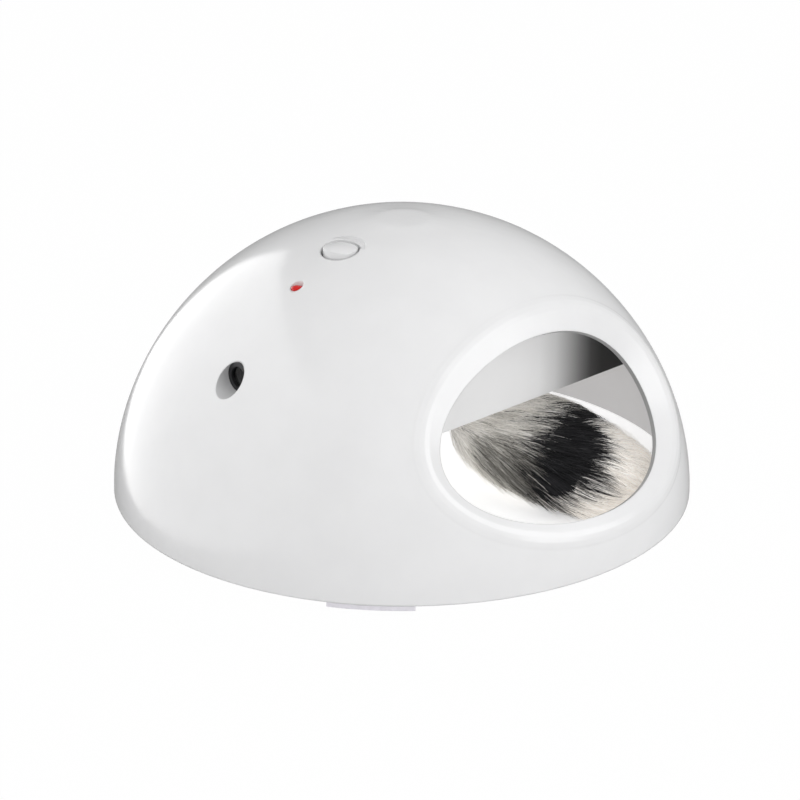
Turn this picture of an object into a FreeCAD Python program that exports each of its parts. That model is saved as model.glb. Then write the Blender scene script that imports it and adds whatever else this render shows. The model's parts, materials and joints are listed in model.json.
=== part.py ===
"""Automatic cat laser toy: a white dome on four low feet.

A laser looks out of a bore in one side of the dome, and a fur tail on a turning arm
sweeps the floor behind an oval opening.  Millimetres, +Z up.  The origin is on the
table under the dome's centre, the opening faces -Y and the laser faces -X.
"""
import FreeCAD, Part
import math
import os
import re
import Sketcher

V = FreeCAD.Vector
X_AXIS, Y_AXIS, Z_AXIS = V(1, 0, 0), V(0, 1, 0), V(0, 0, 1)

# ------------------------------------------------------------------ driving dimensions
# Heights called "rise" are measured up from the dome's rim.  A size that starts with "="
# follows others, so that the pieces stay together when the dome grows or shrinks.
SIZES = {
    # dome, a superellipse turned about Z
    "dome_radius": 125.0,
    "dome_rise": 120.0,
    "dome_wall": 2.5,
    "dome_roundness": 2.04,
    "dome_flatness": 1.88,
    "rim_height": 3.0,
    # oval opening for the tail, its axis tilted up from the floor
    "opening_tilt": 30.5,
    "opening_half_width": 74.0,
    "opening_half_height": 49.3,
    "opening_centre": 2.5,
    "opening_inner_width": 61.5,
    "opening_inner_height": 38.5,
    "opening_shift": 2.0,
    "opening_lip": 1.2,
    "opening_drop": 1.1,
    "opening_outset": 3.6,
    "opening_sink": 0.3,
    "opening_round": 4.5,
    "opening_wall": 2.2,
    "opening_root": 1.7,
    "opening_bond": 0.8,
    # bore for the laser
    "bore_radius": 6.5,
    "bore_rise": "=0.61 * dome_rise",
    "bore_wall": 2.2,
    # status light
    "light_distance": 60.3,
    "light_hole_radius": 2.7,
    "light_radius": 2.55,
    "light_crown": 4.5,
    "light_length": 8.6,
    "light_flange": 0.4,
    "light_flange_height": 1.0,
    "lead_radius": 0.3,
    "lead_spread": 1.27,
    "light_depth": 0.0,
    # oval power button
    "button_distance": 35.9,
    "button_length": 15.4,
    "button_width": 13.8,
    "button_gap": 0.8,
    "button_end_gap": 1.2,
    "button_dish": 3.0,
    "button_dish_rise": 0.9,
    "button_proud": 1.3,
    "button_crown": 28.0,
    "button_travel": 1.2,
    "button_sleeve": 2.0,
    "button_skirt": 1.6,
    "button_flange": 1.0,
    "button_guide": 9.0,
    "plunger_radius": 1.6,
    # base plate and feet
    "floor_lift": 0.3,
    "floor_thickness": 1.3,
    "pan_inset": 6.5,
    "pan_radius": "=dome_radius - pan_inset",
    "pan_depth": 1.2,
    "plate_fit": 0.3,
    "foot_inset": 2.0,
    "foot_width": 18.0,
    "foot_outer": "=dome_radius - foot_inset",
    "foot_inner": "=foot_outer - foot_width",
    "foot_span": 16.7,
    "foot_bearing": 50.0,
    "foot_fit": 0.3,
    "rim_boss_inset": 10.0,
    "rim_boss_distance": "=dome_radius - rim_boss_inset",
    "rim_boss_radius": 3.5,
    "rim_boss_bearing": 30.0,
    "rim_boss_length": 12.0,
    # screws, drawn as plain shanks
    "screw_radius": 1.45,
    "screw_hole": 1.5,
    "head_radius": 2.8,
    "head_height": 1.4,
    "head_sink": 0.1,
    "screw_play": 0.3,
    "small_screw_radius": 0.95,
    "small_screw_hole": 1.0,
    "small_head_radius": 1.9,
    "cut_over": 1.0,
    "drill_depth": 10.0,
    "short_drill": 5.0,
    "board_drill": 7.0,
    "rim_bite": 8.0,
    "deck_bite": 8.0,
    "board_bite": 5.0,
    "stand_bite": 4.0,
    # inner deck that carries the works, and its front partition
    "tail_headroom": "=dome_rise / 3",
    "deck_thickness": 2.5,
    "deck_fit": 0.4,
    "partition_offset": 43.0,
    "partition_wall": 2.2,
    "deck_boss_radius": 4.0,
    "front_boss_x": "=0.64 * dome_radius",
    "front_boss_y": "=0.224 * dome_radius",
    "rear_boss_x": "=0.528 * dome_radius",
    "rear_boss_y": "=0.44 * dome_radius",
    # tail gear train
    "gear_module": 0.8,
    "tooth_top": 0.78,
    "output_teeth": 48,
    "wheel_teeth": 36,
    "pinion_teeth": 12,
    "mesh_slack": 0.15,
    "output_gear_width": 5.0,
    "wheel_width": 4.0,
    "pinion_length": 6.5,
    "gear_gap": 0.3,
    "gear_base": 1.5,
    "pinion_overhang": 1.0,
    "axle_radius": 1.5,
    "axle_fit": 0.05,
    "axle_seat": 1.0,
    "pedestal_radius": 3.0,
    "shaft_radius": 3.0,
    "bush_radius": 4.5,
    "bush_fit": 0.05,
    "ring_radius": 5.5,
    "ring_thickness": 1.0,
    "cover_wall": 2.0,
    "cover_room": 20.5,
    "cover_margin": 2.0,
    "ear_radius": 4.0,
    # tail motor
    "motor_radius": 12.0,
    "motor_half_flat": 9.6,
    "motor_length": 22.0,
    "motor_skin": 1.0,
    "motor_cap": 3.0,
    "rotor_radius": 8.0,
    "rotor_length": 14.0,
    "rotor_gap": 2.0,
    "motor_end_play": 1.3,
    "motor_shaft": 1.0,
    # tail and the arm that drags it
    "hub_radius": 8.0,
    "hub_drop": 2.4,
    "hub_length": 13.0,
    "arm_screw_bite": 8.0,
    "arm_width": 9.0,
    "arm_thickness": 5.0,
    "arm_reach": 52.0,
    "tail_bearing": 13.0,
    "tail_rise": 16.5,
    "tail_back": 4.5,
    "tail_length": 108.5,
    "tail_fullness": 2.7,
    "tail_half_width": 30.0,
    "tail_half_height": 14.5,
    "socket_radius": 7.0,
    "socket_back": 5.0,
    "socket_front": 12.0,
    "tail_gap": 0.3,
    "core_radius": 2.0,
    "core_length": 70.0,
    "core_start": -3.5,
    # laser, its turning carriage and its drive
    "laser_inset": 49.0,
    "laser_pivot": "=dome_radius - laser_inset",
    "bore_reach": 10.0,
    "bore_inner_end": "=laser_pivot + bore_reach",
    "laser_radius": 5.0,
    "laser_nose": 8.2,
    "laser_length": 26.0,
    "laser_skin": 1.6,
    "laser_back": 4.0,
    "lens_inset": 1.0,
    "diode_inset": 16.5,
    "diode_length": 4.5,
    "seat_over": 5.0,
    "lens_radius": 2.6,
    "lens_thickness": 1.2,
    "sleeve_reach": 16.7,
    "sleeve_front": "=laser_pivot + sleeve_reach",
    "sleeve_radius": 6.45,
    "sleeve_opening": 4.6,
    "sleeve_length": 3.3,
    "window_thickness": 1.0,
    "carriage_drop": 11.2,
    "carriage_rise": "=bore_rise - carriage_drop",
    "carriage_thickness": 3.0,
    "pinion_overlap": 0.5,
    "cradle_width": 13.0,
    "cradle_length": 15.0,
    "stand_radius": 5.0,
    "stand_plate": 2.0,
    "stand_width": 17.0,
    "stand_ear_reach": 11.05,
    "sector_angle": 34.0,
    "laser_motor_radius": 6.0,
    "laser_motor_drop": 3.5,
    "laser_motor_length": 12.0,
    "motor_bearing": 6.0,
    "laser_spindle": 12.2,
    "pin_seat": 6.0,
    # circuit board
    "board_thickness": 1.6,
    "board_start": 18.0,
    "board_end": 72.0,
    "board_width": 32.0,
    "board_corner": "=sqrt(board_end ^ 2 + (board_width / 2) ^ 2)",
    "board_share": "=1 - (board_corner / dome_radius) ^ dome_roundness",
    "board_headroom": 8.1,
    "board_rise": "=dome_rise * board_share ^ (1 / dome_flatness) - board_headroom",
    "board_boss_radius": 2.6,
    "board_boss_inset": 4.0,
    "switch_side": 6.0,
    "switch_height": 3.6,
    "switch_floor": 0.5,
    "switch_gap": 0.2,
    "plunger_play": 0.3,
    "chip_length": 12.0,
    "chip_width": 7.6,
    "chip_height": 1.8,
    # batteries, lying across the back of the dome on a sloping tray
    "cell_radius": 7.25,
    "cell_length": 49.3,
    "cell_nub": 1.2,
    "nub_radius": 2.8,
    "cell_pitch": 15.6,
    "cell_count": 3,
    "tray_slope": 45.0,
    "tray_wall": 2.0,
    "tray_fit": 0.4,
    "tray_lip": 4.0,
    "tray_inset": 78.0,
    "tray_lift": 17.0,
    "tray_distance": "=dome_radius + tail_headroom - tray_inset",
    "tray_rise": "=tail_headroom + tray_lift",
    "contact_room": 2.8,
    "contact_thickness": 0.4,
    "spring_width": 4.0,
    "spring_strip": 0.3,
    "spring_reach": 3.0,
    "tray_foot_x": 22.0,
    "tray_foot_back": 17.0,
    "tray_foot_y": "=tray_distance - tray_foot_back",
    "tray_foot_depth": 16.0,
    "tray_rib_x": 12.0,
    "tray_rib": 2.5,
    # battery door in the back of the dome
    "door_rise": 46.0,
    "door_half_width": 33.0,
    "door_length": 50.0,
    "door_fit": 0.3,
    "knuckle_radius": 2.2,
    "knuckle_start": 12.0,
    "knuckle_end": 20.0,
    "pin_radius": 0.9,
    "pin_fit": 0.05,
}

doc = FreeCAD.newDocument("cat_laser_toy")
sheet = doc.addObject("Spreadsheet::Sheet", "Sizes")
for row, (alias, value) in enumerate(SIZES.items(), start=1):
    sheet.set(f"A{row}", alias)
    sheet.set(f"B{row}", str(value))
    sheet.setAlias(f"B{row}", alias)
doc.recompute()

WORD = re.compile(r"[a-z]+(?:_[a-z]+)+")
subparts = []


def linked(text):
    """An expression's text, with each size's name pointed at its cell."""
    return WORD.sub(lambda word: "Sizes." + word.group(), text)


def size(alias):
    """A size's present value, read from the sheet."""
    return float(sheet.get(alias))


# ------------------------------------------------------------------ shared places
RIM = "rim_height"
FLOOR = "(rim_height + floor_lift)"
DECK = "(rim_height + tail_headroom)"
DECK_TOP = "(rim_height + tail_headroom + deck_thickness)"
GEAR_BASE = f"({DECK_TOP} + gear_base)"
COVER_INSIDE = f"({DECK_TOP} + cover_room)"
COVER_TOP = f"({DECK_TOP} + cover_room + cover_wall)"
WHEEL_STEP = "((wheel_teeth + pinion_teeth) * gear_module / 2 + mesh_slack)"
OUTPUT_STEP = "((output_teeth + pinion_teeth) * gear_module / 2 + mesh_slack)"
OUTPUT_TIP = "((output_teeth / 2 + 1) * gear_module)"
WHEEL_TIP = "((wheel_teeth / 2 + 1) * gear_module)"
MOTOR_X = f"({OUTPUT_STEP} - {WHEEL_STEP})"
BORE = "(rim_height + bore_rise)"
CARRIAGE = "(rim_height + carriage_rise)"
LASER_DRIVE_X = f"(-laser_pivot + {WHEEL_STEP})"
BOARD = "(rim_height + board_rise)"
BOARD_TOP = "(rim_height + board_rise + board_thickness)"
HINGE_Y = "(dome_radius * (1 - (door_rise / dome_rise) ^ dome_flatness) ^ (1 / dome_roundness))"
HINGE_Z = "(rim_height + door_rise)"


def surface_rise(distance):
    """Height of the dome's outside above its rim at a distance from its axis, as text."""
    ratio = f"(1 - ({distance} / dome_radius) ^ dome_roundness)"
    return f"(dome_rise * {ratio} ^ (1 / dome_flatness))"


def polar(distance, bearing):
    """Place at a bearing counted from -Y towards +X."""
    return f"{distance} * sin({bearing})", f"-{distance} * cos({bearing})"


# ------------------------------------------------------------------ modelling helpers
def place(body, at, turn=None):
    """Set a body's place from three expressions, after a turn of (axis, angle)."""
    if turn:
        axis, angle = turn
        body.Placement = FreeCAD.Placement(V(), FreeCAD.Rotation(axis, 1))
        body.setExpression("Placement.Rotation.Angle", linked(f"({angle}) * 1 deg"))
    for letter, text in zip("xyz", at):
        body.setExpression(f"Placement.Base.{letter}", linked(text))
    return body


def primitive(kind, name, at, turn=None, **sizes):
    """A Part primitive whose sizes and place follow the sheet."""
    body = doc.addObject("Part::" + kind, name)
    for field, text in sizes.items():
        body.setExpression(field, linked(text))
    return place(body, at, turn)


def cylinder(name, radius, height, at=("0", "0", "0"), turn=None):
    return primitive("Cylinder", name, at, turn, Radius=radius, Height=height)


def box(name, low, lengths):
    """A box from its low corner and its three lengths."""
    length, width, height = lengths
    return primitive("Box", name, low, Length=length, Width=width, Height=height)


def fuse(name, *parts):
    body = doc.addObject("Part::MultiFuse", name)
    body.Shapes = list(parts)
    return body


def common(name, *parts):
    body = doc.addObject("Part::MultiCommon", name)
    body.Shapes = list(parts)
    return body


def moved(name, body, at, turn):
    """A body carried with its own place into a turned frame."""
    carried = doc.addObject("Part::Compound", name)
    carried.Links = [body]
    return place(carried, at, turn)


def cut(name, base, *tools):
    body = doc.addObject("Part::Cut", name)
    body.Base = base
    body.Tool = tools[0] if len(tools) == 1 else fuse(name + "_tools", *tools)
    return body


def shaped(name, shape, at=("0", "0", "0")):
    """A Part::Feature for a form that no primitive or sketch gives."""
    body = doc.addObject("Part::Feature", name)
    body.Shape = shape
    return place(body, at)


def subpart(name, body):
    """Name the finished body of a sub-part and keep it for the export."""
    body.Label = name
    subparts.append(body)
    return body


def new_sketch(body, name, role):
    """A sketch on one of the body's own origin planes."""
    flat = body.newObject("Sketcher::SketchObject", name)
    plane = next(item for item in body.Origin.OriginFeatures if item.Role == role)
    flat.AttachmentSupport = [(plane, "")]
    flat.MapMode = "FlatFace"
    return flat


def bind(flat, kind, geometry, point, text):
    """Dimension a sketch point from the origin by an expression."""
    if text == "0":
        axis = -2 if kind == "DistanceX" else -1
        flat.addConstraint(Sketcher.Constraint("PointOnObject", geometry, point, axis))
        return
    dimension = Sketcher.Constraint(kind, -1, 1, geometry, point, 1.0)
    index = flat.addConstraint(dimension)
    flat.setExpression(f"Constraints[{index}]", linked(text))


def draw_outline(flat, corners):
    """A closed outline of straight sides, each corner placed by two expressions."""
    count = len(corners)
    start = [V(math.cos(2 * math.pi * i / count), math.sin(2 * math.pi * i / count), 0)
             for i in range(count)]
    for i in range(count):
        flat.addGeometry(Part.LineSegment(start[i], start[(i + 1) % count]), False)
    for i, (across, along) in enumerate(corners):
        flat.addConstraint(Sketcher.Constraint("Coincident", i - 1 if i else count - 1, 2, i, 1))
        bind(flat, "DistanceX", i, 1, across)
        bind(flat, "DistanceY", i, 1, along)


def turned(name, profile, at=("0", "0", "0"), turn=None):
    """A body turned about its own Z from an outline of (radius, height) corners."""
    body = doc.addObject("PartDesign::Body", name)
    flat = new_sketch(body, name + "_profile", "XZ_Plane")
    draw_outline(flat, profile)
    solid = body.newObject("PartDesign::Revolution", name + "_turning")
    solid.Profile = flat
    solid.ReferenceAxis = (flat, ["V_Axis"])
    solid.Angle = 360.0
    return place(body, at, turn)


def padded(name, draw, thickness, at=("0", "0", "0"), turn=None):
    """A body padded up from the outline that draw(sketch) makes on its own XY plane."""
    body = doc.addObject("PartDesign::Body", name)
    flat = new_sketch(body, name + "_outline", "XY_Plane")
    draw(flat)
    pad = body.newObject("PartDesign::Pad", name + "_pad")
    pad.Profile = flat
    pad.setExpression("Length", linked(thickness))
    return place(body, at, turn)


def rod(radius, low, high):
    """The outline of a plain rod, for turned()."""
    return [("0", low), (radius, low), (radius, high), ("0", high)]


def tube(inner, outer, low, high):
    """The outline of a plain tube, for turned()."""
    return [(inner, low), (outer, low), (outer, high), (inner, high)]


def screws(name, spots, under_head, shank, upward, small=False):
    """Screws of one kind: spots are (x, y), upward tells which way the shank points."""
    kind = "small_" if small else ""
    radius, head = kind + "screw_radius", kind + "head_radius"
    pieces = []
    for number, (x, y) in enumerate(spots, start=1):
        low = under_head if upward else f"{under_head} - ({shank})"
        head_low = f"{under_head} - head_height" if upward else under_head
        pieces.append(cylinder(f"{name}_shank_{number}", radius, shank, (x, y, low)))
        pieces.append(cylinder(f"{name}_head_{number}", head, "head_height", (x, y, head_low)))
    return subpart(name, fuse(name, *pieces))


def holes(name, spots, radius, low, length):
    """Round cutters at the given spots."""
    return [cylinder(f"{name}_{number}", radius, length, (x, y, low))
            for number, (x, y) in enumerate(spots, start=1)]


# ------------------------------------------------------------------ places of the screws
RIM_SPOTS = [polar("rim_boss_distance", bearing) for bearing in (
    "rim_boss_bearing", "-rim_boss_bearing",
    "(180 - rim_boss_bearing)", "(rim_boss_bearing - 180)")]
DECK_SPOTS = [("front_boss_x", "-front_boss_y"), ("-front_boss_x", "-front_boss_y"),
              ("rear_boss_x", "rear_boss_y"), ("-rear_boss_x", "rear_boss_y")]
COVER_LOW_X = f"(-{OUTPUT_TIP} - cover_margin - cover_wall)"
COVER_LOW_Y = COVER_LOW_X
COVER_HIGH_X = f"({OUTPUT_STEP} + {WHEEL_TIP} + cover_margin + cover_wall)"
COVER_HIGH_Y = f"({WHEEL_STEP} + {WHEEL_TIP} + cover_margin + cover_wall)"
COVER_ROWS = (f"{COVER_LOW_Y} + 3 * ear_radius", f"{COVER_HIGH_Y} - 3 * ear_radius")
COVER_SPOTS = [(x, y) for x in (f"{COVER_LOW_X} - ear_radius", f"{COVER_HIGH_X} + ear_radius")
               for y in COVER_ROWS]
BOARD_SPOTS = [(f"-(board_start + {along})", f"{side}(board_width / 2 - board_boss_inset)")
               for along in ("board_boss_inset", "(board_end - board_start - 2 * board_boss_inset)")
               for side in ("", "-")]
STAND_SPOTS = [("-laser_pivot", f"{side}stand_ear_reach") for side in ("", "-")]
TRAY_SPOTS = [(f"{side}tray_foot_x", "tray_foot_y") for side in ("", "-")]


# ------------------------------------------------------------------ dome
def dome_solid(name, inset):
    """A solid superellipse dome on the rim plane, smaller than the outside by inset."""
    radius, rise = size("dome_radius") - inset, size("dome_rise") - inset
    steps = 14
    curve = []
    for step in range(steps):
        turn = math.pi / 2 * step / steps
        across = radius * math.cos(turn) ** (2 / size("dome_roundness"))
        curve.append(V(across, 0, rise * math.sin(turn) ** (2 / size("dome_flatness"))))
    curve.append(V(0, 0, rise))
    outline = Part.BSplineCurve()
    outline.interpolate(Points=curve, InitialTangent=Z_AXIS, FinalTangent=-X_AXIS)
    sides = [Part.LineSegment(curve[-1], V()), Part.LineSegment(V(), curve[0])]
    section = Part.Face(Part.Wire([line.toShape() for line in [outline] + sides]))
    return shaped(name, section.revolve(V(), Z_AXIS, 360), ("0", "0", RIM))


TILT = math.radians(size("opening_tilt"))
OUTWARD = V(0, -math.cos(TILT), math.sin(TILT))
UPWARD = V(0, math.sin(TILT), math.cos(TILT))


def dome_reach(across, up):
    """Distance along the opening's axis at which a line beside it leaves the dome."""
    low, high = 0.0, 2 * size("dome_radius")
    while high - low > 1e-6:
        middle = (low + high) / 2
        point = X_AXIS * across + UPWARD * up + OUTWARD * middle
        level = (math.hypot(point.x, point.y) / size("dome_radius")) ** size("dome_roundness")
        level += (abs(point.z) / size("dome_rise")) ** size("dome_flatness")
        low, high = (middle, high) if level < 1 else (low, middle)
    return low


TURNS = [2 * math.pi * step / 48 for step in range(48)]


def beside_outline(turn, outset, level=None):
    """Point beside the opening's outline, outset from it. The level is that of the dome's
    outside there unless it is given."""
    across = size("opening_centre") + (size("opening_half_width") + outset) * math.cos(turn)
    up = (size("opening_half_height") + outset) * math.sin(turn)
    level = dome_reach(across, up) if level is None else level
    return X_AXIS * across + UPWARD * up + OUTWARD * level


def inner_edge(turn, level):
    """Point of the face's inner edge, which lies lower than the outline."""
    across = size("opening_inner_width") * math.cos(turn)
    up = size("opening_inner_height") * math.sin(turn) - size("opening_shift")
    return X_AXIS * across + UPWARD * up + OUTWARD * level


def ring_section(turn):
    """Corners of the ring's section at one turn: a rounded shoulder, the face, the back."""
    corner = beside_outline(turn, 0) + OUTWARD * size("opening_lip")
    level = corner.dot(OUTWARD)
    start = beside_outline(turn, size("opening_outset")) - OUTWARD * size("opening_sink")
    end = beside_outline(turn, -size("opening_round"), level)
    shoulder = [start * (1 - t) ** 2 + corner * 2 * t * (1 - t) + end * t ** 2
                for t in (0, 0.25, 0.5, 0.75, 1)]
    edge = inner_edge(turn, level - size("opening_drop"))
    return shoulder + [edge, edge - OUTWARD * size("opening_wall"),
                       corner - OUTWARD * (size("opening_lip") + size("opening_root"))]


def opening_ring():
    """The broad flat face round the opening, its shoulder rounded, between closed curves."""
    edges = []
    for points in zip(*[ring_section(turn) for turn in TURNS]):
        curve = Part.BSplineCurve()
        curve.interpolate(Points=list(points), PeriodicFlag=True)
        edges.append(curve.toShape())
    sides = [Part.makeRuledSurface(near, far) for near, far in zip(edges, edges[1:] + edges[:1])]
    skin = Part.makeCompound(sides)
    skin.sewShape()
    solid = Part.Solid(skin.Shells[0])
    if solid.Volume < 0:
        solid.reverse()
    return shaped("opening_ring", solid, ("0", "0", RIM))


def oval_post(name, length, width, middle, height, turn):
    """An oval prism: a Part ellipse, its long axis first, extruded both ways from its middle."""
    oval = primitive("Ellipse", name + "_oval", middle, turn,
                     MajorRadius=f"({length}) / 2", MinorRadius=f"({width}) / 2")
    body = doc.addObject("Part::Extrusion", name)
    body.Base = oval
    body.DirMode = "Normal"
    body.Symmetric = True
    body.Solid = True
    body.setExpression("LengthFwd", linked(height))
    return body


def button_oval(name, side, end, low, height):
    """An oval prism on the button's axis, larger than the button by side and end."""
    return oval_post(name, f"button_length + 2 * ({end})", f"button_width + 2 * ({side})",
                     ("-button_distance", "0", f"{low} + ({height}) / 2"), height, (Z_AXIS, "90"))


BUTTON_SURFACE = f"({RIM} + {surface_rise('button_distance')})"
GUIDE_LOW = f"({BUTTON_SURFACE} - button_guide)"
TOWARDS_LASER = (Y_AXIS, "-90")
ALONG_X = (Y_AXIS, "90")


def dome_bosses():
    """Everything that stands on the dome's inside."""
    webs = "(dome_radius - dome_wall - rim_boss_radius + plate_fit)"
    web_spots = [(x.replace("rim_boss_distance", webs), y.replace("rim_boss_distance", webs))
                 for x, y in RIM_SPOTS]
    bosses = holes("rim_boss", RIM_SPOTS, "rim_boss_radius", FLOOR, "rim_boss_length")
    bosses += holes("rim_web", web_spots, "rim_boss_radius", FLOOR, "rim_boss_length")
    bosses += holes("deck_boss", DECK_SPOTS, "deck_boss_radius", DECK_TOP, "dome_rise")
    bosses += holes("board_boss", BOARD_SPOTS, "board_boss_radius", BOARD_TOP, "dome_rise")
    bosses.append(cylinder("bore_boss", "bore_radius + bore_wall", "dome_radius",
                           ("-bore_inner_end", "0", BORE), TOWARDS_LASER))
    bosses.append(button_oval("button_boss", "button_gap + button_sleeve",
                              "button_end_gap + button_sleeve", GUIDE_LOW, "dome_rise"))
    return fuse("dome_bosses", *bosses)


def hinge_rod(name, radius, start, length):
    """A rod along the battery door's hinge axis."""
    return cylinder(name, radius, length, (start, HINGE_Y, HINGE_Z), ALONG_X)


def knuckles(name, radius, gap):
    """The door's two hinge knuckles, or the room for them."""
    length = f"knuckle_end - knuckle_start + 2 * ({gap})"
    return [hinge_rod(name + "_left", radius, f"-knuckle_end - ({gap})", length),
            hinge_rod(name + "_right", radius, f"knuckle_start - ({gap})", length)]


def door_zone(name, fit):
    """The region of the dome's back that the battery door fills, smaller by fit."""
    half = f"(door_half_width - {fit})"
    block = box(name + "_block", (f"-{half}", "0", f"{HINGE_Z} + {fit}"),
                (f"2 * {half}", "2 * dome_radius", "2 * dome_rise"))
    swing = hinge_rod(name + "_swing", f"door_length - {fit}", f"-{half}", f"2 * {half}")
    return common(name, block, swing)


def build_dome(outside, inside):
    """The dome, with the opening's face, bosses, bores and the door's frame."""
    cavity = cut("dome_cavity", inside, dome_bosses())
    shell = cut("dome_skin", outside, cavity)
    plug = oval_post("opening_plug", "2 * (opening_half_width + opening_bond)",
                     "2 * (opening_half_height + opening_bond)",
                     ("opening_centre", "-dome_radius * cos(opening_tilt)",
                      f"{RIM} + dome_radius * sin(opening_tilt)"),
                     "dome_radius", (X_AXIS, "90 - opening_tilt"))
    cutters = [plug, door_zone("door_gap", "0")]
    cutters.append(cylinder("laser_bore", "bore_radius", "dome_radius",
                            ("-bore_inner_end + cut_over", "0", BORE), TOWARDS_LASER))
    cutters.append(cylinder("light_hole", "light_hole_radius", "dome_rise",
                            ("-light_distance", "0", BOARD_TOP)))
    cutters.append(button_oval("button_hole", "button_gap", "button_end_gap",
                               f"{GUIDE_LOW} - cut_over", "dome_rise"))
    cutters.append(button_oval("button_dish", "button_dish", "button_dish",
                               f"{BUTTON_SURFACE} + button_dish_rise", "dome_rise"))
    cutters += holes("rim_pilot", RIM_SPOTS, "screw_hole", f"{FLOOR} - cut_over", "rim_boss_length")
    cutters += holes("deck_pilot", DECK_SPOTS, "screw_hole", f"{DECK_TOP} - cut_over", "drill_depth")
    cutters += holes("board_pilot", BOARD_SPOTS, "small_screw_hole", f"{BOARD_TOP} - cut_over",
                     "board_drill")
    cutters += knuckles("knuckle_notch", "knuckle_radius + door_fit", "door_fit")
    pierced = cut("dome_pierced", shell, *cutters)
    middle = hinge_rod("dome_knuckle", "knuckle_radius", "-knuckle_start + door_fit",
                       "2 * (knuckle_start - door_fit)")
    whole = fuse("dome_whole", pierced, opening_ring(), middle)
    pin_bore = hinge_rod("dome_pin_bore", "pin_radius", "-knuckle_start", "2 * knuckle_start")
    return subpart("dome_shell", cut("dome_bored", whole, pin_bore))


def build_door(outside, inside):
    """The battery door, its knuckles at its lower edge, and its hinge pin."""
    panel = cut("door_panel", common("door_block", outside, door_zone("door_area", "door_fit")),
                inside)
    hinged = fuse("door_hinged", panel, *knuckles("door_knuckle", "knuckle_radius", "0"))
    middle = hinge_rod("door_notch", "knuckle_radius + door_fit", "-knuckle_start",
                       "2 * knuckle_start")
    bore = hinge_rod("door_pin_bore", "pin_radius + pin_fit", "-knuckle_end - cut_over",
                     "2 * (knuckle_end + cut_over)")
    subpart("battery_door", cut("door_bored", hinged, middle, bore))
    subpart("door_hinge_pin", hinge_rod("hinge_pin", "pin_radius", "-knuckle_end",
                                        "2 * knuckle_end"))


# ------------------------------------------------------------------ base
FLANGE_LOW = f"({FLOOR} - floor_thickness)"
PAN_LOW = f"({FLANGE_LOW} - pan_depth)"


def foot_sector(name, bearing, inner, low, height, spread):
    """A flat sector of a ring, centred on a bearing."""
    span = f"(foot_span + 2 * ({spread}) * 180 / (pi * foot_outer))"
    turn = (Z_AXIS, f"{bearing} - 90 - {span} / 2")
    outer = primitive("Cylinder", name + "_sector", ("0", "0", low), turn,
                      Radius="foot_outer", Height=height, Angle=span)
    hollow = cylinder(name + "_hollow", inner, f"3 * ({height})", ("0", "0", f"{low} - {height}"))
    return cut(name, outer, hollow)


FEET = {"foot_front_right": "foot_bearing", "foot_front_left": "-foot_bearing",
        "foot_rear_right": "(180 - foot_bearing)", "foot_rear_left": "(foot_bearing - 180)"}


def build_base():
    """The stepped base plate that is the toy's floor, its feet and its screws."""
    edge = "(dome_radius - dome_wall - plate_fit)"
    disc = turned("base_disc", [("0", PAN_LOW), ("pan_radius", PAN_LOW),
                                ("pan_radius", FLANGE_LOW), (edge, FLANGE_LOW),
                                (edge, FLOOR), ("0", FLOOR)])
    pockets = []
    for name, bearing in FEET.items():
        foot = foot_sector(name + "_pad", bearing, "foot_inner", "0", FLANGE_LOW, "0")
        subpart(name, foot)
        pockets.append(foot_sector(name + "_pocket", bearing, "foot_inner - foot_fit",
                                   f"{PAN_LOW} - cut_over", "pan_depth + cut_over", "foot_fit"))
    pilots = holes("plate_hole", RIM_SPOTS, "screw_hole", "0", "2 * rim_height")
    sinks = holes("plate_sink", RIM_SPOTS, "head_radius + screw_hole - screw_radius",
                  f"{PAN_LOW} - cut_over", "head_height + head_sink + cut_over")
    subpart("base_plate", cut("plate_cut", disc, *pockets, *pilots, *sinks))
    screws("base_screws", RIM_SPOTS, f"({PAN_LOW} + head_height + head_sink)", "rim_bite", True)


# ------------------------------------------------------------------ deck
IDLER_LOW = GEAR_BASE
IDLER_HIGH = f"({GEAR_BASE} + pinion_length - gear_gap)"
IDLERS = {"idler_gear_lower": (OUTPUT_STEP, "0", IDLER_LOW),
          "idler_gear_upper": (OUTPUT_STEP, WHEEL_STEP, IDLER_HIGH)}


def build_deck():
    """The deck that closes the works off from the tail's room, and its front partition."""
    slab = box("deck_slab", ("-dome_radius", "-partition_offset", DECK),
               ("2 * dome_radius", "2 * dome_radius", "deck_thickness"))
    wall = box("partition_slab", ("-dome_radius", "-partition_offset", DECK),
               ("2 * dome_radius", "partition_wall", "dome_rise"))
    limit = dome_solid("deck_limit", size("dome_wall") + size("deck_fit"))
    body = common("deck_trimmed", fuse("deck_sheets", slab, wall), limit)
    posts = [cylinder("bush_sleeve", "bush_radius + cover_wall", "gear_base - gear_gap",
                      ("0", "0", DECK_TOP))]
    bores = [cylinder("bush_bore", "bush_radius", "drill_depth", ("0", "0", f"{DECK} - cut_over"))]
    for name, (x, y, low) in IDLERS.items():
        posts.append(cylinder(name + "_pedestal", "pedestal_radius",
                              f"{low} - gear_gap - {DECK_TOP}", (x, y, DECK_TOP)))
        bores.append(cylinder(name + "_seat", "axle_radius", f"{low} - {DECK} + cut_over",
                              (x, y, f"{DECK} - cut_over")))
    bores += holes("deck_hole", DECK_SPOTS, "screw_hole", f"{DECK} - cut_over", "drill_depth")
    bores += holes("cover_pilot", COVER_SPOTS, "screw_hole", f"{DECK} - cut_over", "drill_depth")
    bores += holes("tray_pilot", TRAY_SPOTS, "screw_hole", f"{DECK} - cut_over", "drill_depth")
    bores += holes("stand_pilot", STAND_SPOTS, "small_screw_hole", f"{DECK} - cut_over", "drill_depth")
    subpart("inner_deck", cut("deck_bored", fuse("deck_posted", body, *posts), *bores))
    screws("deck_screws", DECK_SPOTS, DECK, "deck_thickness + deck_bite", True)


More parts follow.
